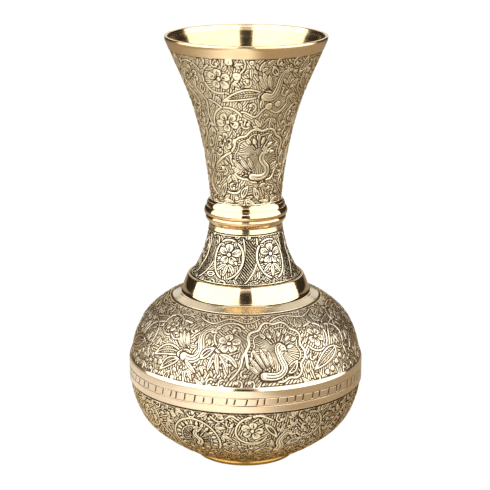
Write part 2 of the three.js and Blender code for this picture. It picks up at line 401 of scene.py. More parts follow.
def body(p, rx, ry):
    """A bird's body with rows of scales."""
    a = np.radians(np.linspace(0, 360, 22, endpoint=False))
    out = np.c_[rx * np.cos(a), ry * np.sin(a) * (1 + 0.18 * np.cos(a))]
    p.fill(out, clear=0.65)
    p.cut(np.r_[out, out[:1]] * 0.76, 0.32)
    for i, x in enumerate(np.arange(-rx * 0.55, rx * 0.62, 1.5)):
        h = ry * 0.60 * math.sqrt(max(0.05, 1 - (x / rx) ** 2))
        for y in np.arange(-h + 0.5, h, 1.4):
            p.cut(arc(x, y + 0.4 * (i % 2), 0.6, -80, 80, 6), 0.28)


FRAME_BOWL = [(-18.3, -2), (-17.8, 3), (-15.6, 6.6), (-15.4, 11), (-12.0, 14.6), (-8.6, 15.6), (-6.6, 18.4), (-2.4, 20.3), (0.6, 19.2),
              (4.4, 20.0), (8.6, 17.6), (10.2, 14.9), (13.6, 12.8), (14.8, 8.4), (14.0, 5.2), (16.0, 1.2), (15.6, -4.0), (13.2, -6.6),
              (13.4, -10.6), (9.8, -14.0), (5.8, -13.6), (1.6, -15.4), (-3.2, -14.4), (-7.2, -14.6), (-11.4, -12.6), (-13.0, -9.4), (-17.2, -7.2)]
FRAME_TRUMPET = [(-15.2, -1.5), (-15.4, 3), (-13.6, 6.6), (-13.2, 10.2), (-9.8, 12.8), (-7.4, 13.4), (-5.2, 16.0), (-1.2, 17.2), (2.0, 16.2),
                 (5.4, 17.2), (9.6, 15.6), (11.4, 12.6), (14.8, 10.4), (15.6, 6.2), (14.6, 3.0), (16.0, -1.2), (14.6, -5.6), (11.8, -7.6),
                 (10.6, -11.4), (6.8, -13.8), (3.2, -13.2), (-0.6, -14.8), (-5.0, -13.2), (-8.0, -12.6), (-11.8, -10.4), (-12.8, -6.6)]


def medallion(p, frame_pts, neck, w0, w1, wing_at, side_at, fan=(0.5, 0.5), plume=-1):
    """A scalloped frame round a long-necked peacock, with its plumes spread above it."""
    f = np.array(frame_pts, float)
    out = spl(np.vstack([f[-1:], f, f[:2]]), 230)
    lo = len(out) * 1 // (len(f) + 2)
    out = out[lo:-lo // 2]
    p.clear(out, margin=0.7)
    p.hatch(out, 58, fan=fan, amp=1.25)
    p.ridge(np.r_[out, out[:1]], 1.35)
    p.ridge(out * 0.83, 0.7)
    # plumes behind the bird
    reach = np.hypot(*(out - np.array(fan)).T)
    ang = np.degrees(np.arctan2(out[:, 1] - fan[1], out[:, 0] - fan[0]))
    for i, b in enumerate(np.linspace(8, 130, 8)):
        t = math.radians(b)
        r1 = float(reach[np.argmin(np.abs((ang - b + 180) % 360 - 180))]) * (0.80 if i % 2 else 0.64)
        u = np.array([math.cos(t), math.sin(t)])
        a0, a1 = np.array(fan) + u * 4.4, np.array(fan) + u * (r1 - 2.8)
        if np.hypot(*(a1 - a0)) > 1.5 and r1 > 8:
            p.ridge([a0, a1], 0.6, clear=0.35)
        drop(p.at(*(np.array(fan) + u * (r1 - 3.4)), b), 4.4, 2.2, 0.0, cut=bool(i % 2))
    # the folded wing: long slanting feathers on the left
    for x, y, a, ln in wing_at:
        feather(p.at(x, y, a), ln, 2.5, 0.5)
    (sx, sy, sa, sl, sw) = side_at
    leaf(p.at(sx, sy, sa), sl, sw, -0.5, rim=0.8)
    p.hold(out)
    q = neck_and_head(p, neck, w0, w1)
    crest(q, plume, 0.9)


def fan_bird(p, r=11.0):
    """A peacock seen with its tail spread in a fan."""
    out = arc(0, 0, r, -38, 218, 70)
    shape = np.r_[out, [(0, -r * 0.8)]]
    p.clear(shape, margin=0.6)
    p.hatch(shape, 64, fan=(0.0, -3.0), amp=1.1)
    p.ridge(out, 1.15)
    p.ridge(out * 0.66, 0.6)
    for b in np.linspace(-26, 206, 15):
        t = math.radians(b)
        p.ridge([(3.8 * math.cos(t), 3.8 * math.sin(t) - 0.6), (r * 0.66 * math.cos(t), r * 0.66 * math.sin(t))], 0.5)
        drop(p.at(r * 0.70 * math.cos(t), r * 0.70 * math.sin(t), b), r * 0.24, 1.9, 0, cut=False)
    body(p.at(0, -4.2, 90), 3.9, 2.7)
    q = neck_and_head(p, [(0.2, -4.8), (2.2, -1.6), (0.2, 1.8), (0.6, 4.8), (2.4, 6.0)], 3.4, 2.2)
    crest(q, 1, 0.8)


def twig(p, length, curl, side=1, leaves=4):
    """A curved vine with leaves on both sides of it."""
    line = spl([(0, 0), (length * 0.35, curl), (length * 0.7, curl * 0.6), (length, -curl * 0.4)], 20)
    p.ridge(line, np.linspace(1.1, 0.7, 20), clear=0.5)
    for i in range(leaves):
        t = 3 + int(i * 15 / max(1, leaves - 1))
        d = line[min(19, t + 1)] - line[t - 1]
        a = math.degrees(math.atan2(d[1], d[0]))
        drop(p.at(*line[t], a + side * 48 * (1 if i % 2 else -1)), 3.9, 2.0, 0.25)
    d = line[-1] - line[-3]
    bud(p.at(*line[-1], math.degrees(math.atan2(d[1], d[0]))), 3.2)


def scatter(c, smallest, rows):
    """Fills the widest open ground with curls, leaves, buds and a few flowers, largest gaps first."""
    lo, hi = rows
    view = c.R[lo:hi]
    for _ in range(900):
        j, i = np.unravel_index(np.argmin(view), view.shape)
        d = -view[j, i]
        if d < smallest:
            break
        deg, s = math.degrees(c.th[i]), c.s[lo + j]
        rot = c.rng.uniform(0, 360)
        p = Pen(c, deg, s, rot)
        kind = c.rng.random()
        if d > 4.4 and kind < 0.45:
            flower(p, min(d * 0.88, 5.6), 5)
        elif d > 3.2:
            if kind < 0.40:
                p.ridge(arc(0, 0, d * 0.62, 10, 285, 20), np.linspace(1.0, 0.7, 20), clear=0.3)
                bud(p.at(0.0, -d * 0.10, 200), d * 0.50)
                drop(p.at(d * 0.62, 0, 40), d * 0.6, d * 0.34, 0.2)
            elif kind < 0.80:
                q = p.at(-d * 0.85, 0)
                drop(q.at(0.6, 0.3, 46), d * 1.25, d * 0.46, 0.2)
                drop(q.at(0.6, -0.3, -46), d * 1.25, d * 0.46, -0.2)
                drop(q, d * 1.8, d * 0.52, 0.2)
            else:
                leaf(p.at(-d * 0.95, 0), d * 1.95, d * 0.95, 0.3, rim=0.7, midrib=0.6)
        elif d > 2.5:
            if kind < 0.85:
                q = p.at(-d * 0.8, 0)
                drop(q, d * 1.6, d * 0.66, 0.25 * c.rng.choice([-1, 1]))
            else:
                bud(p.at(-d * 0.4, 0), d * 0.9)
        else:
            drop(p.at(-d * 0.72, 0), d * 1.45, d * 0.6, 0.15)
        # make sure that this gap never comes up again
        view[max(0, j - 1) : j + 2, i] = np.maximum(view[max(0, j - 1) : j + 2, i], -smallest * 0.98)


def ground(c, area=85.0, pitch=1.5):
    """Chisel hatching in patches, each with its own direction, before any motif is drawn."""
    width = 2 * math.pi * c.r.mean()
    count = int(width * c.s[-1] / area)
    th = c.rng.uniform(-math.pi, math.pi, count)
    s = c.rng.uniform(0, c.s[-1], count)
    ang = np.radians(c.rng.choice([32, 48, 132, 148, 12, 100, 165], count) + c.rng.uniform(-9, 9, count))
    pit = pitch * c.rng.uniform(0.9, 1.12, count)
    best = np.full(c.R.shape, 1e9)
    warp_x = 1.1 * np.sin(c.th * 23)[None, :] * np.cos(c.s * 0.9)[:, None]
    warp_y = 0.9 * np.cos(c.th * 17)[None, :] * np.sin(c.s * 0.7)[:, None]
    for t0, s0, a, pt in zip(th, s, ang, pit):
        d = (c.th - t0 + math.pi) % (2 * math.pi) - math.pi
        x = d[None, :] * c.r[:, None] + warp_x
        y = (c.s - s0)[:, None] + warp_y
        q = x * x + y * y
        near = q < best
        ph = ((x - warp_x) * math.cos(a) + (y - warp_y) * math.sin(a)) / pt
        c.P[near] = ph[near]
        best[near] = q[near]


def borders(c, bottom=None, top=None, pitch=1.25, rim=0.28):
    """Plain edges, and where asked a row of short upright chisel ticks of the given height."""
    s1 = c.s[-1]
    if bottom:
        rows = c.s < bottom
        c.R[rows] = -2.0
        c.G[rows] = -4.0
        c.P[rows] = np.broadcast_to(c.th * round(2 * math.pi * c.r[0] / pitch) / (2 * math.pi), c.P.shape)[rows]
        c.A[rows] = 1.6
        c.R[:] = np.maximum(c.R, 0.3 - np.abs(c.s - bottom)[:, None])
    if top:
        rows = c.s > s1 - top
        c.R[rows] = -2.0
        c.G[rows] = -4.0
        c.P[rows] = np.broadcast_to(c.th * round(2 * math.pi * c.r[-1] / pitch) / (2 * math.pi), c.P.shape)[rows]
        c.A[rows] = 1.6
        c.R[:] = np.maximum(c.R, 0.3 - np.abs(c.s - (s1 - top))[:, None])
    edge = rim - np.minimum(c.s, s1 - c.s)[:, None]
    c.R[:] = np.maximum(c.R, np.broadcast_to(edge, c.R.shape))


def ring_of(count, first=0.0):
    return [(first + 360.0 * i / count + 180) % 360 - 180 for i in range(count)]


def long_bird(p, neck, w0=4.6, w1=2.4, wing=((132, 9.0), (120, 11.5), (108, 12.0), (95, 10.0)), wing_at=(1.0, 1.0), rx=4.8, ry=2.9, tilt=10):
    for a, ln in wing:
        feather(p.at(wing_at[0] + 2.2 * math.cos(math.radians(a - 90)), wing_at[1], a), ln, 2.7, 0.3)
    body(p.at(-1.2, -1.6, tilt), rx, ry)
    crest(neck_and_head(p, neck, w0, w1), 1)


def draw_upper(c):
    ground(c)
    S = c.s_of
    for d in ring_of(3):
        # long vines first, so that everything else lies over them
        Pen(c, d - 60, S(86)).ridge(spl([(-16, -16), (-10, -6), (-4, 2), (4, 5), (12, 9), (22, 9)], 34), 1.1)
        Pen(c, d - 60, S(86)).ridge(spl([(-19, -12), (-13, -3), (-6, 6), (4, 9), (12, 13), (20, 13)], 34), 0.8)
        Pen(c, d + 3, S(72)).ridge(spl([(-12, -6), (-6, 2), (-4, 9), (2, 14), (6, 20)], 30), 1.0)
        Pen(c, d + 60, S(80)).ridge(spl([(-6, 11), (1, 8), (3, 1), (1, -6), (3, -12)], 30), 1.1)
        Pen(c, d + 40, S(95)).ridge(spl([(-20, -1), (-10, 2), (0, -1), (10, 2)], 24), 0.9)
        Pen(c, d - 10, S(95)).ridge(spl([(-18, 0), (-9, -3), (0, 1), (9, -2), (16, 1)], 24), 0.9)
    for d in ring_of(3):
        # a leaf and vine curl in the shoulder on the far left
        scroll(Pen(c, d - 49.0, S(89.5)), 6.8, 20, 300, leaves=(100, 190), tail=[(3.4, -5.9), (7.0, -8.0), (12.0, -7.0)])
        flower(Pen(c, d - 49.0, S(89.5), 20), 5.0)
        # flower between bird and medallion
        p = Pen(c, d - 9.0, S(85.5))
        p.ridge(arc(0.5, 3.5, 9.2, 40, 215, 30), 1.1, clear=0.5)
        flower(p.at(0.0, -0.6, 18), 6.4)
        p.ridge(spl([(-8.0, -3.5), (-5.0, -6.4), (0.5, -7.0), (6.5, -5.0)], 16), np.linspace(1.5, 0.5, 16), clear=0.6)
        # fern fronds below the flower
        for line in ([(-7.5, -7.0), (-9.4, -11.5), (-11.5, -17.0)], [(-6.6, -7.0), (-6.2, -12.0), (-5.4, -18.5)],
                     [(-5.4, -7.0), (-1.8, -11.0), (0.2, -17.5)], [(-4.4, -7.2), (2.0, -9.6), (5.2, -14.5)]):
            frond(p, line)
        # right-hand flower inside its vine
        p = Pen(c, d + 42.0, S(85.0))
        scroll(p, 8.6, -150, 118, leaves=(75, 20), inner=(-60,), tail=[(-7.4, -4.3), (-10.5, -7.5), (-10.8, -12)])
        flower(p.at(0, 0, 50), 6.0)
        # the medallion
        medallion(Pen(c, d + 17.0, S(79.0)), FRAME_BOWL,
                  [(-9.0, -11.6), (-4.0, -12.2), (1.0, -11.0), (3.0, -7.6), (1.6, -3.6), (0.4, 0.4), (0.0, 3.6), (1.0, 5.2), (3.0, 4.0)],
                  4.4, 3.0, [(-3.0, -8.6, 104, 11.5), (-5.0, -9.0, 111, 14.5), (-7.2, -9.4, 118, 15.5), (-9.2, -10.4, 127, 12.5), (-10.6, -11.0, 140, 8.5)],
                  (4.6, -11.0, 46, 9.5, 5.2), fan=(0.0, 3.0))
        # the bird among leaves
        p = Pen(c, d - 32.0, S(78.6))
        leaf(p.at(-3.6, -4.4, 215), 17.5, 5.4, -1.4, rim=0.95)
        leaf(p.at(-2.0, -1.4, 194), 23.5, 6.6, -3.0, rim=1.0)
        long_bird(p, [(-1.0, -3.0), (4.6, -3.6), (8.4, -1.0), (8.8, 3.4), (7.2, 8.0), (6.8, 12.0), (8.8, 15.0), (12.0, 14.6)], 4.8, 2.9,
                  wing=((148, 10.5), (136, 13.0), (124, 13.5), (112, 11.5)), wing_at=(-0.6, 1.4))
        leaf(p.at(9.6, -2.6, 44), 10.5, 5.0, 0.6, rim=0.95)
        for a, ln in ((250, 11.5), (272, 12.5), (296, 12.0), (318, 9.5)):
            t = math.radians(a)
            frond(p, [(0.5, -4.6), (0.5 + ln * 0.5 * math.cos(t), -4.6 + ln * 0.55 * math.sin(t)), (0.5 + ln * 1.05 * math.cos(t), -4.6 + ln * math.sin(t))])
        # big leaf at the lower right
        p = Pen(c, d + 44.0, S(79.6))
        leaf(p.at(12.0, -2.6, 205), 24.0, 7.8, -0.8, rim=1.1)
        for x, y in ((-1.0, -14.0), (3.6, -13.0), (8.0, -9.8), (12.4, -7.4)):
            bud(p.at(x, y, -60), 3.2)
        p.ridge(spl([(11.5, -3.0), (16, -5.0), (20.0, -3.0)], 12), 1.0, clear=0.4)
        twig(Pen(c, d + 62, S(67), 20), 11, 1.8)
    scatter(c, 2.3, (3, len(c.s) - 4))
    borders(c, top=1.7, bottom=0.0)


def draw_lower(c):
    ground(c)
    S = c.s_of
    for d in ring_of(4):
        Pen(c, d - 12, S(40)).ridge(spl([(-6, 4), (0, 1), (6, 5), (12, 2), (20, 5), (30, 2)], 30), 1.0)
        Pen(c, d + 8, S(18)).ridge(spl([(-20, 3), (-12, -2), (-4, 2), (4, -3), (14, 1)], 30), 1.0)
        Pen(c, d + 44, S(24)).ridge(spl([(-4, 12), (-1, 5), (2, -2), (-1, -9), (4, -15)], 26), 1.0)
    for d in ring_of(4):
        # a round fan on the left, its flower and a second flower ring on the right
        fan_bird(Pen(c, d - 26.5, S(27.5), 6), 14.2)
        p = Pen(c, d + 3.4, S(35.2))
        p.ridge(arc(0, 0, 9.4, 95, 330, 34), 1.15, clear=0.55)
        p.ridge(spl([(8.1, -4.7), (5.4, -8.4), (0.0, -10.6), (-6.0, -10.0)], 18), np.linspace(1.1, 0.7, 18), clear=0.45)
        flower(p.at(0, 0, 8), 6.6)
        scroll(Pen(c, d + 33.5, S(35.8)), 8.4, -175, 95, leaves=(-20, 50), inner=(-120, -60))
        flower(Pen(c, d + 33.5, S(35.8), 40), 5.8)
        # the slanting stalk and the bird with the S neck
        p = Pen(c, d + 18.0, S(30.0))
        leaf(p.at(-10.0, 10.5, -52), 14.5, 3.6, 0.4, rim=0.8, midrib=0.5)
        for a, ln in ((134, 8.0), (114, 9.0)):
            feather(p.at(-1.5, -9.5, a), ln, 2.5, 0.3)
        leaf(p.at(-1.5, -11.0, 190), 12.0, 4.6, -1.0)
        q = neck_and_head(p, [(0.5, -12.5), (1.6, -8.0), (0.2, -4.4), (1.2, -0.2), (4.0, 2.8), (7.0, 2.0)], 4.6, 3.0)
        crest(q, 1)
        leaf(p.at(5.0, -7.0, 22), 10.5, 4.4, 0.6)
        spray(Pen(c, d + 1, S(20), -84), 5, 8.5, 64)
        spray(Pen(c, d + 45, S(21), -95), 5, 8.5, 60)
        twig(Pen(c, d + 30, S(16.5), 10), 12, 1.6)
        twig(Pen(c, d - 10, S(13.0), 170), 10, 1.4)
        twig(Pen(c, d - 48, S(38.0), 20), 11, 1.8)
    scatter(c, 2.3, (3, len(c.s) - 4))
    borders(c, top=1.5, bottom=1.9)


def draw_trumpet(c):
    ground(c, 70.0, 1.34)
    S = c.s_of
    for d in ring_of(3):
        Pen(c, d - 44, S(222)).ridge(spl([(-8, 18), (-3, 10), (-5, 2), (1, -6), (0, -14), (4, -24)], 34), 1.05)
        Pen(c, d + 2, S(207)).ridge(spl([(-8, 2), (-2, 4), (4, 1), (10, 6), (16, 3), (24, 8)], 34), 1.0)
        Pen(c, d + 56, S(222)).ridge(spl([(-6, 20), (2, 12), (-2, 2), (6, -6), (2, -16), (10, -24)], 34), 1.05)
        Pen(c, d + 60, S(190)).ridge(spl([(-4, 16), (3, 8), (-2, -2), (4, -12), (-1, -24), (4, -30)], 34), 1.0)
        Pen(c, d - 6, S(236)).ridge(spl([(2, 9), (4, 3), (1, -2), (-3, -4)], 20), 1.0)
    for d in ring_of(3):
        # flower in its vine at the upper left
        p = Pen(c, d - 24.0, S(230.0))
        p.ridge(arc(0, 0.5, 9.6, 120, 290, 30), 1.2, clear=0.55)
        p.ridge(spl([(3.3, -8.5), (8.0, -9.8), (12.0, -8.0)], 14), np.linspace(1.2, 0.8, 14), clear=0.4)
        flower(p.at(0.6, 0.2, 18), 7.2)
        bud(p.at(9.2, 1.6, 20), 4.6)
        bud(p.at(7.6, 9.6, 70), 4.4)
        drop(p.at(-12.0, 8.0, 70), 5.0, 2.2, 0.3)
        # second flower below it, with the vine that joins them
        p = Pen(c, d - 21.0, S(204.5))
        p.ridge(arc(0.4, 0.2, 9.0, 25, 200, 30), 1.2, clear=0.55)
        p.ridge(spl([(-2.6, 9.0), (-6.2, 12.0), (-10.5, 13.5)], 14), np.linspace(1.2, 0.8, 14), clear=0.4)
        flower(p.at(0, 0, 48), 6.6)
        flower(Pen(c, d - 27.0, S(193.0), 10), 5.0)
        bud(Pen(c, d - 11.0, S(194.5), 240), 3.8)
        # bird with raised wing and a long leaf for a tail
        p = Pen(c, d + 20.0, S(222.0))
        leaf(p.at(-1.5, -0.6, 192), 25.0, 7.2, -2.2, rim=1.1)
        long_bird(p, [(-1.0, -2.4), (3.2, -2.8), (5.8, 1.6), (6.8, 7.4), (8.8, 12.6), (11.0, 13.8)], 4.8, 2.4,
                  wing=((142, 10.5), (131, 13.5), (120, 14.0), (108, 11.0)), wing_at=(0.4, 1.6), rx=4.4, ry=2.8)
        drop(p.at(-2.4, -4.2, 262), 5.6, 2.7, 0.3)
        bud(p.at(1.6, -6.6, -80), 4.0)
        bud(p.at(6.6, -6.0, -60), 3.6)
        # medallion low on the trumpet
        medallion(Pen(c, d + 15.5, S(183.5)), FRAME_TRUMPET,
                  [(-2.5, -11.4), (1.5, -12.0), (5.4, -10.6), (6.4, -7.4), (4.4, -4.2), (2.6, -1.4), (3.0, 1.6), (5.0, 3.0)],
                  3.6, 2.6, [(-1.0, -8.0, 118, 9.5), (-3.0, -8.6, 128, 12.5), (-5.2, -9.2, 138, 12.5), (-7.0, -9.8, 150, 9.0)],
                  (7.4, -7.6, 40, 7.0, 3.8), fan=(1.0, 2.0), plume=1)
        # two leaves and a vine at the lower left
        p = Pen(c, d - 22.0, S(180.0))
        p.ridge(spl([(-9.0, -1.0), (-4.0, 3.6), (0.5, 6.4)], 14), 1.15, clear=0.5)
        leaf(p.at(-11.6, 8.0, 262), 14.0, 4.0, 0.5, rim=0.8)
        drop(p.at(0.6, -6.6, 238), 7.6, 2.8, 0.3)
        drop(p.at(0.6, -6.6, 304), 6.0, 2.6, -0.3)
        p.ridge(spl([(-9.0, -14.6), (-3.0, -17.2), (3.4, -17.6), (7.0, -14.0)], 18), 1.1, clear=0.4)
        p = Pen(c, d + 5.0, S(163.0))
        leaf(p.at(-4.0, -3.6, 66), 8.5, 3.6, 0.4, rim=0.75)
        leaf(p.at(5.0, -4.6, 108), 8.0, 3.4, -0.4, rim=0.75)
        leaf(Pen(c, d - 38.0, S(160.0), 70), 9.0, 3.6, 0.6, rim=0.75)
        # the side between the repeats
        p = Pen(c, d + 68.0, S(231.0))
        scroll(p, 9.4, -20, 250, leaves=(10, 120), inner=(60, 180))
        flower(p.at(0, 0, 30), 6.6, 6)
        leaf(Pen(c, d + 48.0, S(232.0), 74), 12.5, 5.4, -1.2, rim=0.95)
        p = Pen(c, d + 60.0, S(207.0))
        scroll(p, 6.8, 60, 350, leaves=(90, 200), inner=(140, 260))
        flower(p.at(0, 0, 12), 5.0)
        leaf(Pen(c, d + 58.0, S(176.0), 96), 11.0, 4.2, 0.8, rim=0.85)
        spray(Pen(c, d - 48.0, S(205.0), -70), 4, 8.0, 60)
    scatter(c, 2.2, (3, len(c.s) - 4))
    borders(c, top=0.0, bottom=0.0)


def draw_neck(c):
    ground(c, 46.0, 1.22)
    S = c.s_of
    for d in ring_of(6, 5.0):
        # the slanting hatched leaf between two circles
        strip = np.array([(-2.4, 13.5), (2.4, 13.2), (4.2, 2.0), (2.2, -6.0), (-3.4, -13.0), (-7.2, -12.0), (-3.2, -4.0), (-1.4, 4.0)])
        p = Pen(c, d - 0.5, S(124.0))
        p.hatch(strip, 38, 1.25, amp=1.7)
        p.hold(strip)
        p.ridge(spl([(4.6, 12.0), (5.0, 2.0), (2.6, -6.5), (-2.8, -13.5)], 20), 0.9, clear=0.3)
        p.ridge(spl([(-3.0, 12.0), (-2.4, 3.0), (-4.2, -4.5), (-8.6, -11.5)], 20), 0.8, clear=0.2)
    for d in ring_of(6, -24.0):
        p = Pen(c, d, S(124.6))
        p.ridge(arc(0, 0, 9.0, -76, 250, 44) * np.array([1.0, 1.26]) + np.array([0, -0.8]), 1.15, clear=0.5)
        flower(p.at(0.2, 2.0, 16), 6.9)
        for b, ln in ((-40, 2.8), (52, 3.3), (124, 3.4), (198, 3.0)):
            t = math.radians(b)
            drop(p.at(5.5 * math.cos(t), 2.0 + 5.5 * math.sin(t), b + (26 if ln > 2.9 else -20)), ln, ln * 0.56, 0.2, cut=ln > 3)
        for line in ([(-0.8, -3.6), (-3.6, -5.2), (-6.2, -7.6)], [(0.0, -4.0), (-0.6, -7.0), (-1.6, -10.6)], [(0.8, -3.8), (3.2, -6.0), (4.2, -9.0)]):
            frond(p, line, 2.2, 1)
    scatter(c, 1.8, (3, len(c.s) - 4))
    borders(c, top=1.1, bottom=1.3, pitch=1.1)


def relief(c):
    """Depth of the surface below the smooth profile, in mm."""
    up = step(c.R, -0.26, 0.22)
    h = -0.30 * (1 - up) + 0.10 * np.clip(c.R, 0, 1.0)
    h -= 0.20 * step(c.G, -0.20, 0.12) * up
    h += 0.055 * (1 - up) * c.A * np.sin(2 * math.pi * c.P)
    return h


# PATTERN-END


# ------------------------------------------------------------------ mesh building
def add_lathe(name, rings, ncol, disp=None, attrs=None, sharp=(), rows=None, sectors=3, inner_from=None):
    """One closed body: rings (radius, height) listed outside-up then inside-down, revolved about Z.

    rows maps canvas rows to rings, disp is their displacement along the ring's normal in mm and
    attrs holds one value per vertex for the same rows."""
    p = np.asarray(rings, float)
    k = len(p)
    tang = np.roll(p, -1, axis=0) - np.roll(p, 1, axis=0)
    tang /= np.hypot(*tang.T)[:, None] + 1e-12
    nrm = np.c_[tang[:, 1], -tang[:, 0]]
    th = np.linspace(-math.pi, math.pi, ncol, endpoint=False)
    d = np.zeros((k, ncol))
    if disp is not None:
        d[rows] = disp
    rad = p[:, :1] + d * nrm[:, :1]
    zz = p[:, 1:] + d * nrm[:, 1:]
    co = np.stack([rad * np.sin(th), -rad * np.cos(th), np.broadcast_to(zz, rad.shape)], axis=-1) * MM
    me = bpy.data.meshes.new(name)
    me.vertices.add(k * ncol)
    me.vertices.foreach_set("co", co.astype(np.float32).ravel())
    j = np.repeat(np.arange(k), ncol)
    i = np.tile(np.arange(ncol), k)
    j2, i2 = (j + 1) % k, (i + 1) % ncol
    quads = np.stack([j * ncol + i, j * ncol + i2, j2 * ncol + i2, j2 * ncol + i], axis=-1).astype(np.int32)
    me.loops.add(quads.size)
    me.loops.foreach_set("vertex_index", quads.ravel())
    me.polygons.add(len(quads))
    me.polygons.foreach_set("loop_start", np.arange(0, quads.size, 4, dtype=np.int32))
    me.update(calc_edges=True)
    me.polygons.foreach_set("use_smooth", np.ones(len(quads), bool))
    # sharp rings
    if len(sharp):
        e = np.empty(len(me.edges) * 2, np.int32)
        me.edges.foreach_get("vertices", e)
        e = e.reshape(-1, 2) // ncol
        flag = (e[:, 0] == e[:, 1]) & np.isin(e[:, 0], np.asarray(sorted(sharp)))
        at = me.attributes.new("sharp_edge", "BOOLEAN", "EDGE")
        at.data.foreach_set("value", flag)
    # ornament values; a plain surface counts as raised work without cuts
    plain = {"relief": 2.0, "cuts": -4.0, "phase": 0.0, "depth": 0.0, "wear": 0.0}
    for key, rest in plain.items():
        if attrs is None:
            break
        val = np.full((k, ncol), rest)
        val[rows] = attrs[key]
        me.attributes.new(key, "FLOAT", "POINT").data.foreach_set("value", val.astype(np.float32).ravel())
    # a strip map with no overlaps: sectors side by side up the sheet, each the whole section
    seg = np.hypot(*(np.roll(p, -1, axis=0) - p).T)
    if inner_from is not None:
        seg[inner_from:] *= 0.35
    v0 = np.r_[0, np.cumsum(seg)]
    v0 /= v0[-1]
    per = ncol / sectors
    sec = np.minimum((i // per).astype(int), sectors - 1)
    pad = 0.004
    ulo, uhi = (i - sec * per) / per, (i + 1 - sec * per) / per
    fit = lambda u: pad + (1 - 2 * pad) * u
    vlo, vhi = (sec + fit(v0[j])) / sectors, (sec + fit(v0[j + 1])) / sectors
    uv = np.stack([np.stack([fit(ulo), vlo], -1), np.stack([fit(uhi), vlo], -1),
                   np.stack([fit(uhi), vhi], -1), np.stack([fit(ulo), vhi], -1)], axis=1)
    me.uv_layers.new(name="OFBake").data.foreach_set("uv", uv.astype(np.float32).ravel())
    me.validate()
    ob = bpy.data.objects.new(name, me)
    bpy.context.scene.collection.objects.link(ob)
    return ob


def fillet(pts, radii, seg=5):
    """A closed outline with its corners rounded; radius 0 keeps a corner sharp. Returns points and sharp ones."""
    pts = [np.array(q, float) for q in pts]
    out, sharp = [], []
    n = len(pts)
    for i, c in enumerate(pts):
        a, b = pts[i - 1], pts[(i + 1) % n]
        r = radii[i] if not np.isscalar(radii) else radii
        u, v = a - c, b - c
        lu, lv = np.hypot(*u), np.hypot(*v)
        u, v = u / lu, v / lv
        cosang = float(np.clip(u @ v, -1, 1))
        if r <= 0 or cosang < -0.9995:
            if cosang > -0.95:
                sharp.append(len(out))
            out.append(c)
            continue
        half = math.acos(cosang) / 2
        t = min(r / math.tan(half), lu * 0.45, lv * 0.45)
        p0, p1 = c + u * t, c + v * t
        for q in np.linspace(0, 1, seg):
            out.append((1 - q) ** 2 * p0 + 2 * q * (1 - q) * c + q**2 * p1)
    return np.array(out), sharp


def refine(p, sharp, longest=0.8):
    """Extra points on long spans, so that shading and maps stay even."""
    out, keep = [], []
    n = len(p)
    for i in range(n):
        if i in sharp:
            keep.append(len(out))
        a, b = p[i], p[(i + 1) % n]
        m = max(1, int(math.ceil(np.hypot(*(b - a)) / longest)))
        for q in range(m):
            out.append(a + (b - a) * q / m)
    return np.array(out), keep


# ------------------------------------------------------------------ materials
def new_mat(name):
    m = bpy.data.materials.new(name)
    m.use_nodes = True
    nt = m.node_tree
    nt.nodes.clear()
    out = nt.nodes.new("ShaderNodeOutputMaterial")
    b = nt.nodes.new("ShaderNodeBsdfPrincipled")
    nt.links.new(b.outputs["BSDF"], out.inputs["Surface"])
    return m, nt, b


class Nodes:
    """Short hands for a node tree."""

    def __init__(self, nt):
        self.nt = nt

    def new(self, kind, **sets):
        n = self.nt.nodes.new(kind)
        for a, v in sets.items():
            setattr(n, a, v)
        return n

    def put(self, sock, v):
        if isinstance(v, bpy.types.NodeSocket):
            self.nt.links.new(v, sock)
        else:
            sock.default_value = v

    def math(self, op, a, b=None, c=None, clamp=False):
        n = self.new("ShaderNodeMath", operation=op, use_clamp=clamp)
        for i, v in enumerate((a, b, c)):
            if v is not None:
                self.put(n.inputs[i], v)
        return n.outputs[0]

    def attr(self, name):
        return self.new("ShaderNodeAttribute", attribute_name=name).outputs["Fac"]

    def ramp(self, v, lo, hi, out_lo=0.0, out_hi=1.0, smooth=True):
        n = self.new("ShaderNodeMapRange", interpolation_type="SMOOTHSTEP" if smooth else "LINEAR", clamp=True)
        for key, val in (("Value", v), ("From Min", lo), ("From Max", hi), ("To Min", out_lo), ("To Max", out_hi)):
            self.put(n.inputs[key], val)
        return n.outputs["Result"]

    def mix(self, f, a, b, blend="MIX"):
        n = self.new("ShaderNodeMix", data_type="RGBA", blend_type=blend)
        self.put(n.inputs[0], f)
        self.put(n.inputs[6], a)
        self.put(n.inputs[7], b)
        return n.outputs[2]

    def noise(self, vec, scale, detail=3.0, rough=0.55, dist=0.0, dims="3D"):
        n = self.new("ShaderNodeTexNoise", noise_dimensions=dims)
        self.put(n.inputs["Vector"], vec)
        n.inputs["Scale"].default_value = scale
        n.inputs["Detail"].default_value = detail
        n.inputs["Roughness"].default_value = rough
        n.inputs["Distortion"].default_value = dist
        return n.outputs["Fac"]

    def bump(self, height, dist, strength=1.0, normal=None):
        n = self.new("ShaderNodeBump")
        n.inputs["Strength"].default_value = strength
        n.inputs["Distance"].default_value = dist
        self.put(n.inputs["Height"], height)
        if normal is not None:
            self.put(n.inputs["Normal"], normal)
        return n.outputs["Normal"]

    def turned_coords(self):
        """(distance from the axis, height): constant all the way round, for marks left by a lathe."""
        co = self.new("ShaderNodeTexCoord").outputs["Object"]
        s = self.new("ShaderNodeSeparateXYZ")
        self.put(s.inputs[0], co)
        flat = self.math("SQRT", self.math("ADD", self.math("MULTIPLY", s.outputs[0], s.outputs[0]),
                                           self.math("MULTIPLY", s.outputs[1], s.outputs[1])))
        c = self.new("ShaderNodeCombineXYZ")
        self.put(c.inputs[0], flat)
        self.put(c.inputs[1], s.outputs[2])
        return co, c.outputs[0], flat, s.outputs[2]


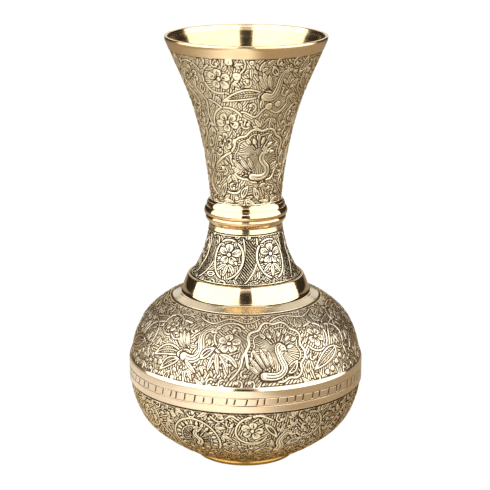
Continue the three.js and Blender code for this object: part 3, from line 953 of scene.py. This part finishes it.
BRASS = (0.90, 0.69, 0.43, 1)
BRASS_DEEP = (0.84, 0.60, 0.34, 1)
PATINA = (0.085, 0.052, 0.028, 1)
PATINA_MID = (0.33, 0.235, 0.135, 1)


def polished(name, base=BRASS, deep=BRASS_DEEP, rough=0.11, lines=0.5, seed=0.0, soil=0.0, streak=0.16):
    """Lathe-polished brass: fine rings, faint cloudy tarnish and hairline scratches."""
    m, nt, b = new_mat(name)
    k = Nodes(nt)
    co, rz, flat, z = k.turned_coords()
    off = k.new("ShaderNodeVectorMath", operation="ADD")
    k.put(off.inputs[0], co)
    off.inputs[1].default_value = (seed, seed * 0.7, seed * 1.3)
    co = off.outputs[0]
    cloud = k.noise(co, 38, 4, 0.6, 0.4)
    fine = k.noise(co, 420, 2, 0.5)
    rings = k.noise(rz, 2600, 2, 0.65, dims="2D")
    broad = k.noise(rz, 520, 2, 0.5, dims="2D")
    # scratches run roughly round the piece: noise squeezed along the height
    mp = k.new("ShaderNodeMapping")
    k.put(mp.inputs["Vector"], co)
    mp.inputs["Scale"].default_value = (60, 60, 1500)
    scr = k.ramp(k.noise(mp.outputs[0], 1.0, 2, 0.6), 0.66, 0.74)
    col = k.mix(k.ramp(cloud, 0.35, 0.75), base, deep)
    col = k.mix(k.math("MULTIPLY", k.ramp(rings, 0.35, 0.70), streak), col, (0.55, 0.36, 0.17, 1))
    if soil:
        col = k.mix(k.math("MULTIPLY", k.ramp(fine, 0.5, 0.7), soil), col, PATINA_MID)
    k.put(b.inputs["Base Color"], col)
    r = k.math("ADD", rough, k.math("MULTIPLY", k.ramp(cloud, 0.3, 0.8), 0.07))
    r = k.math("ADD", r, k.math("MULTIPLY", scr, 0.10))
    r = k.math("ADD", r, k.math("MULTIPLY", k.ramp(broad, 0.4, 0.7), 0.04), clamp=True)
    k.put(b.inputs["Roughness"], r)
    b.inputs["Metallic"].default_value = 1.0
    n1 = k.bump(rings, 0.000012 * lines, 1.0)
    n2 = k.bump(broad, 0.00003 * lines, 1.0, n1)
    n3 = k.bump(scr, 0.000006, 1.0, n2)
    k.put(b.inputs["Normal"], n3)
    return m


def engraved(name, high, land, dark=(0.085, 0.052, 0.028), seed=0.0, rough=0.24, painted_warm_bounce=None, ink=0.0):
    """Chased brass: burnished relief (high), hatched ground (land) and brown patina in every cut."""
    m, nt, b = new_mat(name)
    k = Nodes(nt)
    co, rz, flat, z = k.turned_coords()
    off = k.new("ShaderNodeVectorMath", operation="ADD")
    k.put(off.inputs[0], co)
    off.inputs[1].default_value = (seed, seed * 1.7, seed * 0.4)
    co = off.outputs[0]
    rel, cuts, phase, depth = k.attr("relief"), k.attr("cuts"), k.attr("phase"), k.attr("depth")
    wob = k.math("MULTIPLY", k.math("SUBTRACT", k.noise(co, 900, 2, 0.6), 0.5), 0.24)
    rel = k.math("ADD", rel, wob)
    up = k.ramp(rel, -0.10, 0.10)
    cut = k.ramp(k.math("ADD", cuts, wob), -0.12, 0.08)
    # hatching: a dark chisel cut in each period, a little uneven in spacing, width and length
    jit = k.math("MULTIPLY", k.math("SUBTRACT", k.noise(co, 480, 2, 0.5), 0.5), 0.62)
    wave = k.math("SINE", k.math("MULTIPLY", k.math("ADD", phase, jit), 6.28319))
    wide = k.ramp(k.noise(co, 210, 2, 0.6), 0.25, 0.75, -0.40 + ink, 0.34 + ink, False)
    wide = k.math("ADD", wide, k.math("MULTIPLY", k.math("SUBTRACT", depth, 1.0), 0.7))
    stroke = k.ramp(k.math("SUBTRACT", wide, wave), -0.20, 0.26)
    broken = k.ramp(k.noise(co, 300, 3, 0.65), 0.30, 0.46, 0.15, 1.0)
    stroke = k.math("MULTIPLY", k.math("MULTIPLY", stroke, broken), k.math("MULTIPLY", depth, 0.95), clamp=True)
    gnd = k.math("SUBTRACT", 1.0, up)
    # the cut that bounds each raised line
    edge = k.math("MULTIPLY", k.ramp(rel, -0.58, -0.32), k.ramp(rel, 0.04, -0.12))
    dirt = k.math("MAXIMUM", k.math("MULTIPLY", gnd, k.math("MAXIMUM", stroke, k.math("MULTIPLY", edge, 0.95))),
                  k.math("MULTIPLY", up, k.math("MULTIPLY", cut, 0.95)))
    cloud = k.noise(co, 34, 4, 0.6, 0.5)
    grain = k.noise(co, 1500, 3, 0.6)
    facet = k.noise(co, 300, 2, 0.5, 0.6)
    fine = k.noise(co, 700, 3, 0.62)
    # specks of soot that the polishing cloth missed
    dirt = k.math("MAXIMUM", dirt, k.math("MULTIPLY", k.ramp(fine, 0.62, 0.76), k.math("ADD", 0.15, k.math("MULTIPLY", gnd, 0.4))))
    tone = k.mix(k.ramp(k.math("ADD", k.math("MULTIPLY", up, 0.75), k.math("MULTIPLY", k.ramp(facet, 0.3, 0.7), 0.25)), 0.0, 1.0, 0, 1, False),
                 (*land, 1), (*high, 1))
    tone = k.mix(k.ramp(cloud, 0.30, 0.80, 0.0, 0.30), tone, (land[0] * 0.72, land[1] * 0.68, land[2] * 0.62, 1))
    # painted warm reflection and painted shade: below the given heights the colour is multiplied towards a deeper,
    # darker gold, for the warm dim light bounced between the bowl, the foot and the floor
    if painted_warm_bounce:
        bounce_tinted = k.mix(1.0, tone, (1.0, 0.82, 0.54, 1), "MULTIPLY")
        tone = k.mix(k.ramp(z, painted_warm_bounce[1], painted_warm_bounce[0], 1.0, 0.0), tone, bounce_tinted)
    c1 = k.mix(k.ramp(dirt, 0.0, 0.55, 0, 1, False), tone, (dark[0] * 3.1, dark[1] * 3.0, dark[2] * 2.9, 1))
    col = k.mix(k.ramp(dirt, 0.50, 1.0, 0, 1, False), c1, (*dark, 1))
    k.put(b.inputs["Base Color"], col)
    k.put(b.inputs["Metallic"], k.ramp(dirt, 0.5, 1.0, 1.0, 0.92, False))
    b.inputs["Specular Tint"].default_value = (0.82, 0.62, 0.38, 1)
    r = k.math("ADD", k.ramp(dirt, 0.0, 0.9, rough, 0.50, False), k.math("MULTIPLY", k.ramp(cloud, 0.3, 0.8), 0.06))
    k.put(b.inputs["Roughness"], r)
    hgt = k.math("ADD", k.math("MULTIPLY", up, k.math("SUBTRACT", 1.0, k.math("MULTIPLY", cut, 0.7))),
                 k.math("MULTIPLY", gnd, k.math("MULTIPLY", k.math("SUBTRACT", 1.0, k.math("MAXIMUM", stroke, edge)), 0.55)))
    n1 = k.bump(hgt, 0.00022, 1.0)
    n2 = k.bump(facet, 0.00012, 0.6, n1)
    n3 = k.bump(grain, 0.00002, 0.6, n2)
    k.put(b.inputs["Normal"], n3)
    return m


# These four are one chased brass. Their high, land and dark colours differ from piece to piece to make up for how much
# light each piece catches: the trumpet's are raised towards white as painted light, and the upper bowl's and neck's are
# kept lower as painted shade.
mat_trumpet = engraved("engraved_brass_trumpet", (1.0, 0.92, 0.69), (1.0, 0.88, 0.63), dark=(0.066, 0.038, 0.016), seed=0.31, ink=-0.30, rough=0.30)
mat_neck = engraved("engraved_brass_neck", (0.94, 0.87, 0.67), (0.72, 0.62, 0.43), dark=(0.030, 0.018, 0.009), seed=0.57, ink=0.10)
mat_upper = engraved("engraved_brass_upper", (0.84, 0.77, 0.60), (0.79, 0.69, 0.50), dark=(0.076, 0.047, 0.024), seed=0.11, ink=-0.14, rough=0.28)
# the lower bowl gets painted warm reflection and painted shade towards its bottom, fading out between 10 mm and 28 mm
mat_lower = engraved("engraved_brass_lower", (0.99, 0.88, 0.63), (0.92, 0.77, 0.51), dark=(0.036, 0.019, 0.008), seed=0.83, painted_warm_bounce=(0.028, 0.010))
mat_lip = polished("polished_brass_lip", rough=0.12, lines=1.5, seed=0.2)
mat_inside = polished("polished_brass_inside", base=(0.86, 0.66, 0.37, 1), deep=(0.78, 0.56, 0.29, 1), rough=0.09, lines=0.7, seed=0.4, streak=0.42)
mat_ledge = polished("polished_brass_ledge", base=(0.85, 0.715, 0.49, 1), deep=(0.79, 0.63, 0.41, 1), rough=0.15, lines=0.8, seed=0.5)
mat_collar = polished("polished_brass_collar", rough=0.06, lines=0.4, seed=0.6)
mat_shoulder = polished("polished_brass_shoulder", rough=0.06, lines=0.4, seed=0.9)
# painted shade and painted warm reflection: the foot's base is a dark, deep ochre instead of the brass of the other
# turned parts, for the shadowed floor under the bowl that it reflects
mat_foot_painted_shade = polished("polished_brass_foot_painted_shade", base=(0.60, 0.36, 0.08, 1), deep=(0.48, 0.27, 0.06, 1), rough=0.30, lines=1.2, seed=1.5, soil=0.25)
mat_dull = polished("dull_brass_inside", base=(0.55, 0.40, 0.22, 1), deep=(0.32, 0.22, 0.12, 1), rough=0.38, lines=1.5, seed=1.8, soil=0.5)
mat_braze = polished("braze_metal", base=(0.50, 0.40, 0.26, 1), deep=(0.36, 0.28, 0.17, 1), rough=0.42, lines=0.6, seed=2.1, soil=0.4)


# ------------------------------------------------------------------ engraved shells
def inset_rows(outer, wall, count):
    """The inner surface: the outer profile moved in by the wall thickness, listed top to bottom."""
    q = resample(outer, count)
    t = np.gradient(q, axis=0)
    t /= np.hypot(*t.T)[:, None]
    return (q - wall * np.c_[t[:, 1], -t[:, 0]])[::-1]


def engraved_piece(name, node, profile, ncol, nrow, draw, seed, mat, mat_in, before, after, inner,
                   plain_top=0.0, plain_bottom=0.0, mat_margin=None, sectors=3, corners=()):
    """outer = plain_bottom + engraved rows + plain_top of the profile; before and after are rings
    added at its lower and upper end; inner is the inside, top to bottom."""
    p = natural(profile, 2400)
    s = np.r_[0, np.cumsum(np.hypot(*np.diff(p, axis=0).T))]
    at = lambda q: np.c_[np.interp(q, s, p[:, 0]), np.interp(q, s, p[:, 1])]
    lo, hi = plain_bottom, s[-1] - plain_top
    eng = at(np.linspace(lo, hi, nrow))
    low = at(np.linspace(0, lo, max(3, int(lo / 0.6)), endpoint=False)) if lo > 0 else np.zeros((0, 2))
    top = at(np.linspace(hi, s[-1], max(3, int((s[-1] - hi) / 0.6)) + 1)[1:]) if plain_top > 0 else np.zeros((0, 2))
    c = Canvas(ncol, eng, seed)
    draw(c)
    rings = np.vstack([np.reshape(before, (-1, 2)), low, eng, top, np.reshape(after, (-1, 2)), inner])
    r0 = len(before) + len(low)
    rows = np.arange(r0, r0 + nrow)
    disp = relief(c)
    # the very first and last rows meet the plain edge
    attrs = {"relief": c.R, "cuts": c.G, "phase": c.P, "depth": c.A, "wear": np.zeros_like(c.R)}
    first_in = r0 + nrow + len(top) + len(after)
    sharp = set(corners(r0, nrow, len(low), len(top), len(before), len(after), first_in, len(rings))) if callable(corners) else set(corners)
    ob = add_lathe(name, rings, ncol, disp, attrs, sharp, rows, sectors, inner_from=first_in)
    me = ob.data
    me.materials.append(mat)
    me.materials.append(mat_margin or mat_lip)
    me.materials.append(mat_in)
    ring = np.repeat(np.arange(len(rings)), ncol)
    idx = np.full(len(ring), 1, np.int32)
    idx[(ring >= r0) & (ring < r0 + nrow - 1)] = 0
    idx[(ring >= first_in)] = 2
    me.polygons.foreach_set("material_index", idx)
    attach(ob, "root")
    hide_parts(node)
    return ob, c


# trumpet: plain polished lip above the ornament, and the rolled edge
tr_in = inset_rows(natural(TRUMPET, 400), 1.8, 60)
lip = arc(45.72, 249.1, 0.9, 8, 172, 9)
trumpet, _ = engraved_piece(
    "mouth_trumpet_visual", "mouth_trumpet", TRUMPET, 640, 146, draw_trumpet, 13, mat_trumpet, mat_inside,
    before=[(18.2, 149.4), (19.1, 148.25), (19.8, 148.25), (19.8, 155.3)],
    after=lip, inner=np.vstack([tr_in[1:-1], [(18.2, 154.6), (18.2, 152.0)]]),
    plain_top=5.4, sectors=3,
    corners=lambda r0, nr, nl, nt, nb, na, fi, n: {0, 1, 2, 3, r0, r0 + nr - 1})

nk_in = inset_rows(natural(NECK, 400), 1.8, 30)
neck, _ = engraved_piece(
    "lower_neck_visual", "lower_neck", NECK, 560, 110, draw_neck, 14, mat_neck, mat_dull,
    before=[(31.0, 100.3), (32.95, 100.3), (32.95, 105.0)],
    after=[(19.8, 140.9), (19.8, 147.85), (19.1, 147.85), (18.2, 146.8), (18.2, 144.0)],
    inner=np.vstack([[(18.2, 141.0)], nk_in[2:-2], [(31.0, 108.6), (31.0, 104.0)]]),
    plain_top=2.6, sectors=3,
    corners=lambda r0, nr, nl, nt, nb, na, fi, n: {0, 1, r0, r0 + nr - 1, r0 + nr - 1 + nt, fi - 5, fi - 4, fi - 3})

ub_in = inset_rows(natural(UPPER, 400), 2.0, 40)
upper, _ = engraved_piece(
    "upper_bowl_visual", "upper_bowl", UPPER, 860, 100, draw_upper, 11, mat_upper, mat_dull,
    before=[(65.3, 55.3), (66.5, 54.15), (67.35, 54.15), (67.35, 58.0), (67.35, 62.0)],
    after=[(42.3, 97.75), (41.0, 98.4), (39.4, 99.15), (38.7, 99.5), (38.2, 99.85), (37.6, 99.98), (34.0, 100.0), (29.3, 100.0), (29.3, 98.0), (33.0, 98.0)],
    inner=np.vstack([[(37.0, 97.9), (39.5, 96.9)], ub_in[2:-2], [(65.8, 62.0), (65.5, 58.5)]]),
    sectors=4, mat_margin=mat_ledge,
    corners=lambda r0, nr, nl, nt, nb, na, fi, n: {0, 1, 2, 4, r0, r0 + nr - 1, fi - 3, fi - 2})

lb_in = inset_rows(natural(LOWER, 400), 2.0, 44)
lower, _ = engraved_piece(
    "lower_bowl_visual", "lower_bowl", LOWER, 860, 104, draw_lower, 12, mat_lower, mat_dull,
    before=[(27.5, 3.2), (28.8, 3.15)],
    after=[(67.35, 47.35), (67.35, 50.0), (67.35, 53.85), (66.5, 53.85), (65.3, 52.7), (65.6, 49.5)],
    inner=np.vstack([lb_in[2:-4], [(27.5, 5.3)]]),
    sectors=4,
    corners=lambda r0, nr, nl, nt, nb, na, fi, n: {0, r0, r0 + nr - 1, fi - 6, fi - 4, fi - 3, n - 1})


# ------------------------------------------------------------------ turned pieces
def turned_piece(name, node, pts, radii, mat, ncol=288, longest=0.7, seg=6):
    p, sharp = fillet(pts, radii, seg)
    p, sharp = refine(p, sharp, longest)
    ob = add_lathe(name, p, ncol, sharp=sharp, sectors=4)
    ob.data.materials.append(mat)
    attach(ob, "root")
    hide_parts(node)
    return ob


def run(knots, count):
    return [tuple(q) for q in natural(knots, count)]


upper_ring_pts = (
    [(20.1, 146.05)] + [(22.9, 146.05)] + run([(23.35, 146.35), (23.95, 146.9), (24.2, 147.7), (24.18, 148.6), (23.85, 149.9), (23.35, 150.9), (23.08, 151.3)], 16)
    + [(22.78, 151.42), (22.74, 151.62)] + run([(22.86, 151.78), (22.72, 152.6), (22.42, 153.6), (22.2, 154.02)], 8)
    + [(22.02, 154.10), (21.95, 154.25), (21.5, 154.9), (21.0, 155.42), (20.1, 155.42)])
upper_ring = turned_piece("upper_collar_ring_visual", "upper_collar_ring", upper_ring_pts,
                          [0, 0.15] + [0] * 16 + [0.05, 0.05] + [0] * 8 + [0.05, 0.1, 0.2, 0.2, 0], mat_collar, 320, 0.4)
lower_ring_pts = (
    [(20.1, 141.0), (21.15, 141.0)] + run([(21.35, 141.2), (21.75, 141.75), (22.2, 142.5), (22.62, 143.15)], 8)
    + [(22.85, 143.38)] + run([(23.1, 143.6), (23.34, 144.1), (23.4, 144.7), (23.3, 145.3), (23.05, 145.8)], 10) + [(22.7, 145.95), (20.1, 145.95)])
lower_ring = turned_piece("lower_collar_ring_visual", "lower_collar_ring", lower_ring_pts,
                          [0, 0.15] + [0] * 8 + [0] + [0] * 10 + [0.1, 0], mat_collar, 320, 0.4)
shoulder_pts = (
    [(33.2, 100.05), (38.0, 100.05)] + run([(37.75, 100.25), (37.25, 100.75), (37.0, 101.4), (36.75, 102.6), (36.15, 104.6), (35.3, 106.8), (34.5, 108.7), (34.05, 109.75)], 22)
    + [(33.75, 110.12), (33.2, 110.15)])
shoulder = turned_piece("shoulder_collar_visual", "shoulder_collar", shoulder_pts,
                        [0, 0] + [0] * 22 + [0.15, 0], mat_shoulder, 320, 0.6)
foot_pts = [(26.0, 0.0), (29.05, 0.0), (29.3, 0.35), (29.3, 1.5), (29.0, 2.35), (28.7, 2.7), (28.85, 3.1), (26.0, 3.1)]
foot = turned_piece("foot_ring_visual", "foot_ring", foot_pts, [0.2, 0.15, 0.2, 0.5, 0.3, 0.1, 0, 0.2], mat_foot_painted_shade, 256, 0.5)


def band_piece():
    """The belly band: a flat strip with a bevelled top edge, two turned grooves and a row of chisel ticks."""
    ncol = 1500
    z0, z1 = 47.35, 62.1
    prof = [(67.4, z0), (68.80, z0), (68.94, z0 + 0.22)]
    za = np.linspace(z0 + 0.4, 51.0, 5)
    zb = np.linspace(51.0, 56.3, 25)[1:]
    zc = np.linspace(56.3, 60.1, 5)[1:]
    z = np.r_[za, zb, zc]
    prof += [(68.94, q) for q in z]
    prof += [(68.90, 60.35), (68.62, 61.25), (68.36, 62.0), (68.22, z1), (67.4, z1)]
    p = np.array(prof)
    rows = np.arange(3, 3 + len(z))
    th = np.linspace(-math.pi, math.pi, ncol, endpoint=False)
    zz = z[:, None]
    cut = np.zeros((len(z), ncol))
    wav = 0.05 * np.sin(th * 5 + 0.6)[None, :] + 0.03 * np.sin(th * 13)[None, :]
    for zg in (55.85, 51.45):
        cut = np.maximum(cut, 0.80 * np.exp(-(((zz - zg - wav) / 0.18) ** 2)) * (0.8 + 0.2 * np.sin(th * 9)[None, :]))
    rng = np.random.default_rng(5)
    pitch = 2 * math.pi / 75
    for i in range(75):
        t = -math.pi + pitch * (i + 0.5 + rng.uniform(-0.24, 0.24))
        u = ((th - t + math.pi) % (2 * math.pi) - math.pi) * 68.94
        near = np.abs(u) < 3
        lean, top, bot = rng.uniform(0.10, 0.28), 55.45 + rng.uniform(-0.3, 0.25), 52.25 + rng.uniform(-0.35, 0.3)
        uu = u[near][None, :] - (zz - 53.8) * lean
        # a stroke with a small hook at its foot
        body_ = np.exp(-((uu / 0.44) ** 2)) * step(zz, bot - 0.25, bot + 0.15) * (1 - step(zz, top - 0.1, top + 0.3))
        hook = np.exp(-(((zz - bot + 0.05) / 0.20) ** 2)) * step(-uu, -0.15, 0.0) * (1 - step(-uu, 0.75, 1.1))
        cut[:, near] = np.maximum(cut[:, near], np.maximum(body_ * rng.uniform(0.8, 1.0), hook * rng.uniform(0.5, 0.9)))
    ob = add_lathe("belly_band_visual", p, ncol, -0.20 * cut,
                   {"relief": np.full_like(cut, 2.0), "cuts": cut * 1.0 - 0.5, "phase": cut * 0, "depth": cut * 0, "wear": cut},
                   {0, 1, len(p) - 1, len(p) - 2}, rows, sectors=6)
    # painted light: the band's base is paler and brighter than the other polished brass, to brighten the floor that it
    # reflects
    m = polished("polished_brass_band", base=(0.96, 0.79, 0.58, 1), deep=(0.91, 0.71, 0.48, 1), rough=0.12, lines=0.9, seed=1.2)
    nt = m.node_tree
    k = Nodes(nt)
    b = next(n for n in nt.nodes if n.type == "BSDF_PRINCIPLED")
    w = k.ramp(k.attr("wear"), 0.15, 0.55)
    col = b.inputs["Base Color"].links[0].from_socket
    k.put(b.inputs["Base Color"], k.mix(k.math("MULTIPLY", w, 0.97), col, (0.035, 0.021, 0.012, 1)))
    rough = b.inputs["Roughness"].links[0].from_socket
    k.put(b.inputs["Roughness"], k.math("ADD", rough, k.math("MULTIPLY", w, 0.3), clamp=True))
    ob.data.materials.append(m)
    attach(ob, "root")
    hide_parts("belly_band")
    return ob


band = band_piece()

# hidden pieces keep their CAD shape
for node, m in (("base_disc", mat_dull), ("braze_neck", mat_braze), ("braze_shoulder", mat_braze),
                ("braze_belly", mat_braze), ("braze_base", mat_braze)):
    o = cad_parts[node]
    if o.material_slots:
        for sl in o.material_slots:
            sl.material = m
    else:
        o.data.materials.append(m)

# ------------------------------------------------------------------ floor, light, camera
def floor():
    me = bpy.data.meshes.new("studio_floor")
    a = 6.0
    me.from_pydata([(-a, -a, 0), (a, -a, 0), (a, a, 0), (-a, a, 0)], [], [(0, 1, 2, 3)])
    ob = bpy.data.objects.new("studio_floor", me)
    bpy.context.scene.collection.objects.link(ob)
    m, nt, b = new_mat("studio_floor")
    k = Nodes(nt)
    co = k.new("ShaderNodeTexCoord").outputs["Object"]
    sep = k.new("ShaderNodeSeparateXYZ")
    k.put(sep.inputs[0], co)
    # painted shade: the floor that the vase reflects turns dark brown to the right of it, to the left of it and behind
    # it; painted light: it is paler in a strip in front of it
    side = k.math("MAXIMUM", k.ramp(sep.outputs[0], -0.01, 0.13), k.ramp(k.math("MULTIPLY", sep.outputs[0], -1.0), 0.10, 0.42))
    back = k.ramp(sep.outputs[1], 0.02, 0.30)
    near = k.mix(k.noise(co, 3.0, 2), (0.80, 0.785, 0.76, 1), (0.83, 0.82, 0.80, 1))
    near = k.mix(k.ramp(k.math("MULTIPLY", sep.outputs[1], -1.0), 0.09, 0.17), near, (0.97, 0.95, 0.915, 1))
    k.put(b.inputs["Base Color"], k.mix(k.math("MAXIMUM", side, back), near, (0.33, 0.275, 0.20, 1)))
    b.inputs["Roughness"].default_value = 0.9
    b.inputs["Specular IOR Level"].default_value = 0.0
    # the camera sees the overexposed white of a studio sweep; the vase reflects the pale floor with its painted shade
    # and painted light
    lit, seen, out = k.new("ShaderNodeEmission"), k.new("ShaderNodeMixShader"), next(n for n in nt.nodes if n.type == "OUTPUT_MATERIAL")
    pale, both = k.new("ShaderNodeBsdfDiffuse"), k.new("ShaderNodeAddShader")
    lit.inputs["Strength"].default_value = 1.0
    pale.inputs["Color"].default_value = (0.04, 0.04, 0.04, 1)
    nt.links.new(lit.outputs[0], both.inputs[0])
    nt.links.new(pale.outputs[0], both.inputs[1])
    k.put(seen.inputs[0], k.new("ShaderNodeLightPath").outputs["Is Camera Ray"])
    nt.links.new(b.outputs[0], seen.inputs[1])
    nt.links.new(both.outputs[0], seen.inputs[2])
    nt.links.new(seen.outputs[0], out.inputs["Surface"])
    me.materials.append(m)


floor()


def panel(name, az, dist, width, height, zmid, radiance, colour=(1, 1, 1), aim=None):
    """A soft box: az is its bearing seen from the vase, 0 towards the camera and positive to the right."""
    a = math.radians(az)
    lt = bpy.data.lights.new(name, "AREA")
    lt.shape = "RECTANGLE"
    lt.size, lt.size_y = width, height
    lt.color = colour
    lt.energy = radiance * math.pi * width * height
    ob = bpy.data.objects.new(name, lt)
    pos = Vector((dist * math.sin(a), -dist * math.cos(a), zmid))
    ob.location = pos
    tgt = Vector(aim) if aim else Vector((0, 0, zmid))
    ob.rotation_euler = (tgt - pos).to_track_quat("-Z", "Y").to_euler()
    bpy.context.scene.collection.objects.link(ob)
    return ob


panel("softbox_left", -60.0, 0.92, 2.05, 1.80, 0.92, 2.35)
panel("softbox_right", 60.0, 0.92, 2.05, 1.80, 0.92, 2.35)
panel("softbox_front", 0, 1.15, 0.80, 0.15, 0.855, 2.1, aim=(0, 0, 0.15))
panel("softbox_top", 180, 0.10, 1.2, 0.9, 1.7, 1.7, aim=(0, 0, 0))
panel("softbox_rear_top", 180, 0.95, 1.7, 0.95, 1.08, 0.85, aim=(0, 0, 0.1))
panel("softbox_back", 180, 1.5, 1.3, 0.95, 0.63, 0.80, aim=(0, 0, 0.15))

w = bpy.data.worlds.new("studio")
bpy.context.scene.world = w
w.use_nodes = True
nt = w.node_tree
nt.nodes.clear()
k = Nodes(nt)
wo = k.new("ShaderNodeOutputWorld")
seen, felt = k.new("ShaderNodeBackground"), k.new("ShaderNodeBackground")
seen.inputs[0].default_value, seen.inputs[1].default_value = (1, 1, 1, 1), 1.0
felt.inputs[0].default_value, felt.inputs[1].default_value = (1, 0.84, 0.64, 1), 0.035
mixw = k.new("ShaderNodeMixShader")
k.put(mixw.inputs[0], k.new("ShaderNodeLightPath").outputs["Is Camera Ray"])
nt.links.new(felt.outputs[0], mixw.inputs[1])
nt.links.new(seen.outputs[0], mixw.inputs[2])
nt.links.new(mixw.outputs[0], wo.inputs[0])

cam = bpy.data.cameras.new("camera")
cam.lens, cam.sensor_width = 127.84, 36.0
cam.clip_start, cam.clip_end = 0.05, 50
co = bpy.data.objects.new("camera", cam)
bpy.context.scene.collection.objects.link(co)
pitch = math.radians(14.8)
ROLL = 0.12
aim = Vector((-0.00045, 0, 0.12647))
dist = 1.01877
co.location = aim + Vector((0, -dist * math.cos(pitch), dist * math.sin(pitch)))
co.rotation_euler = (Vector((0, 0, 0)) - Vector((0, -math.cos(pitch), math.sin(pitch)))).to_track_quat("-Z", "Y").to_euler()
co.rotation_euler.rotate_axis("Z", math.radians(ROLL))
bpy.context.scene.camera = co
bpy.context.scene.view_settings.view_transform = "Standard"
bpy.context.scene.view_settings.look = "None"
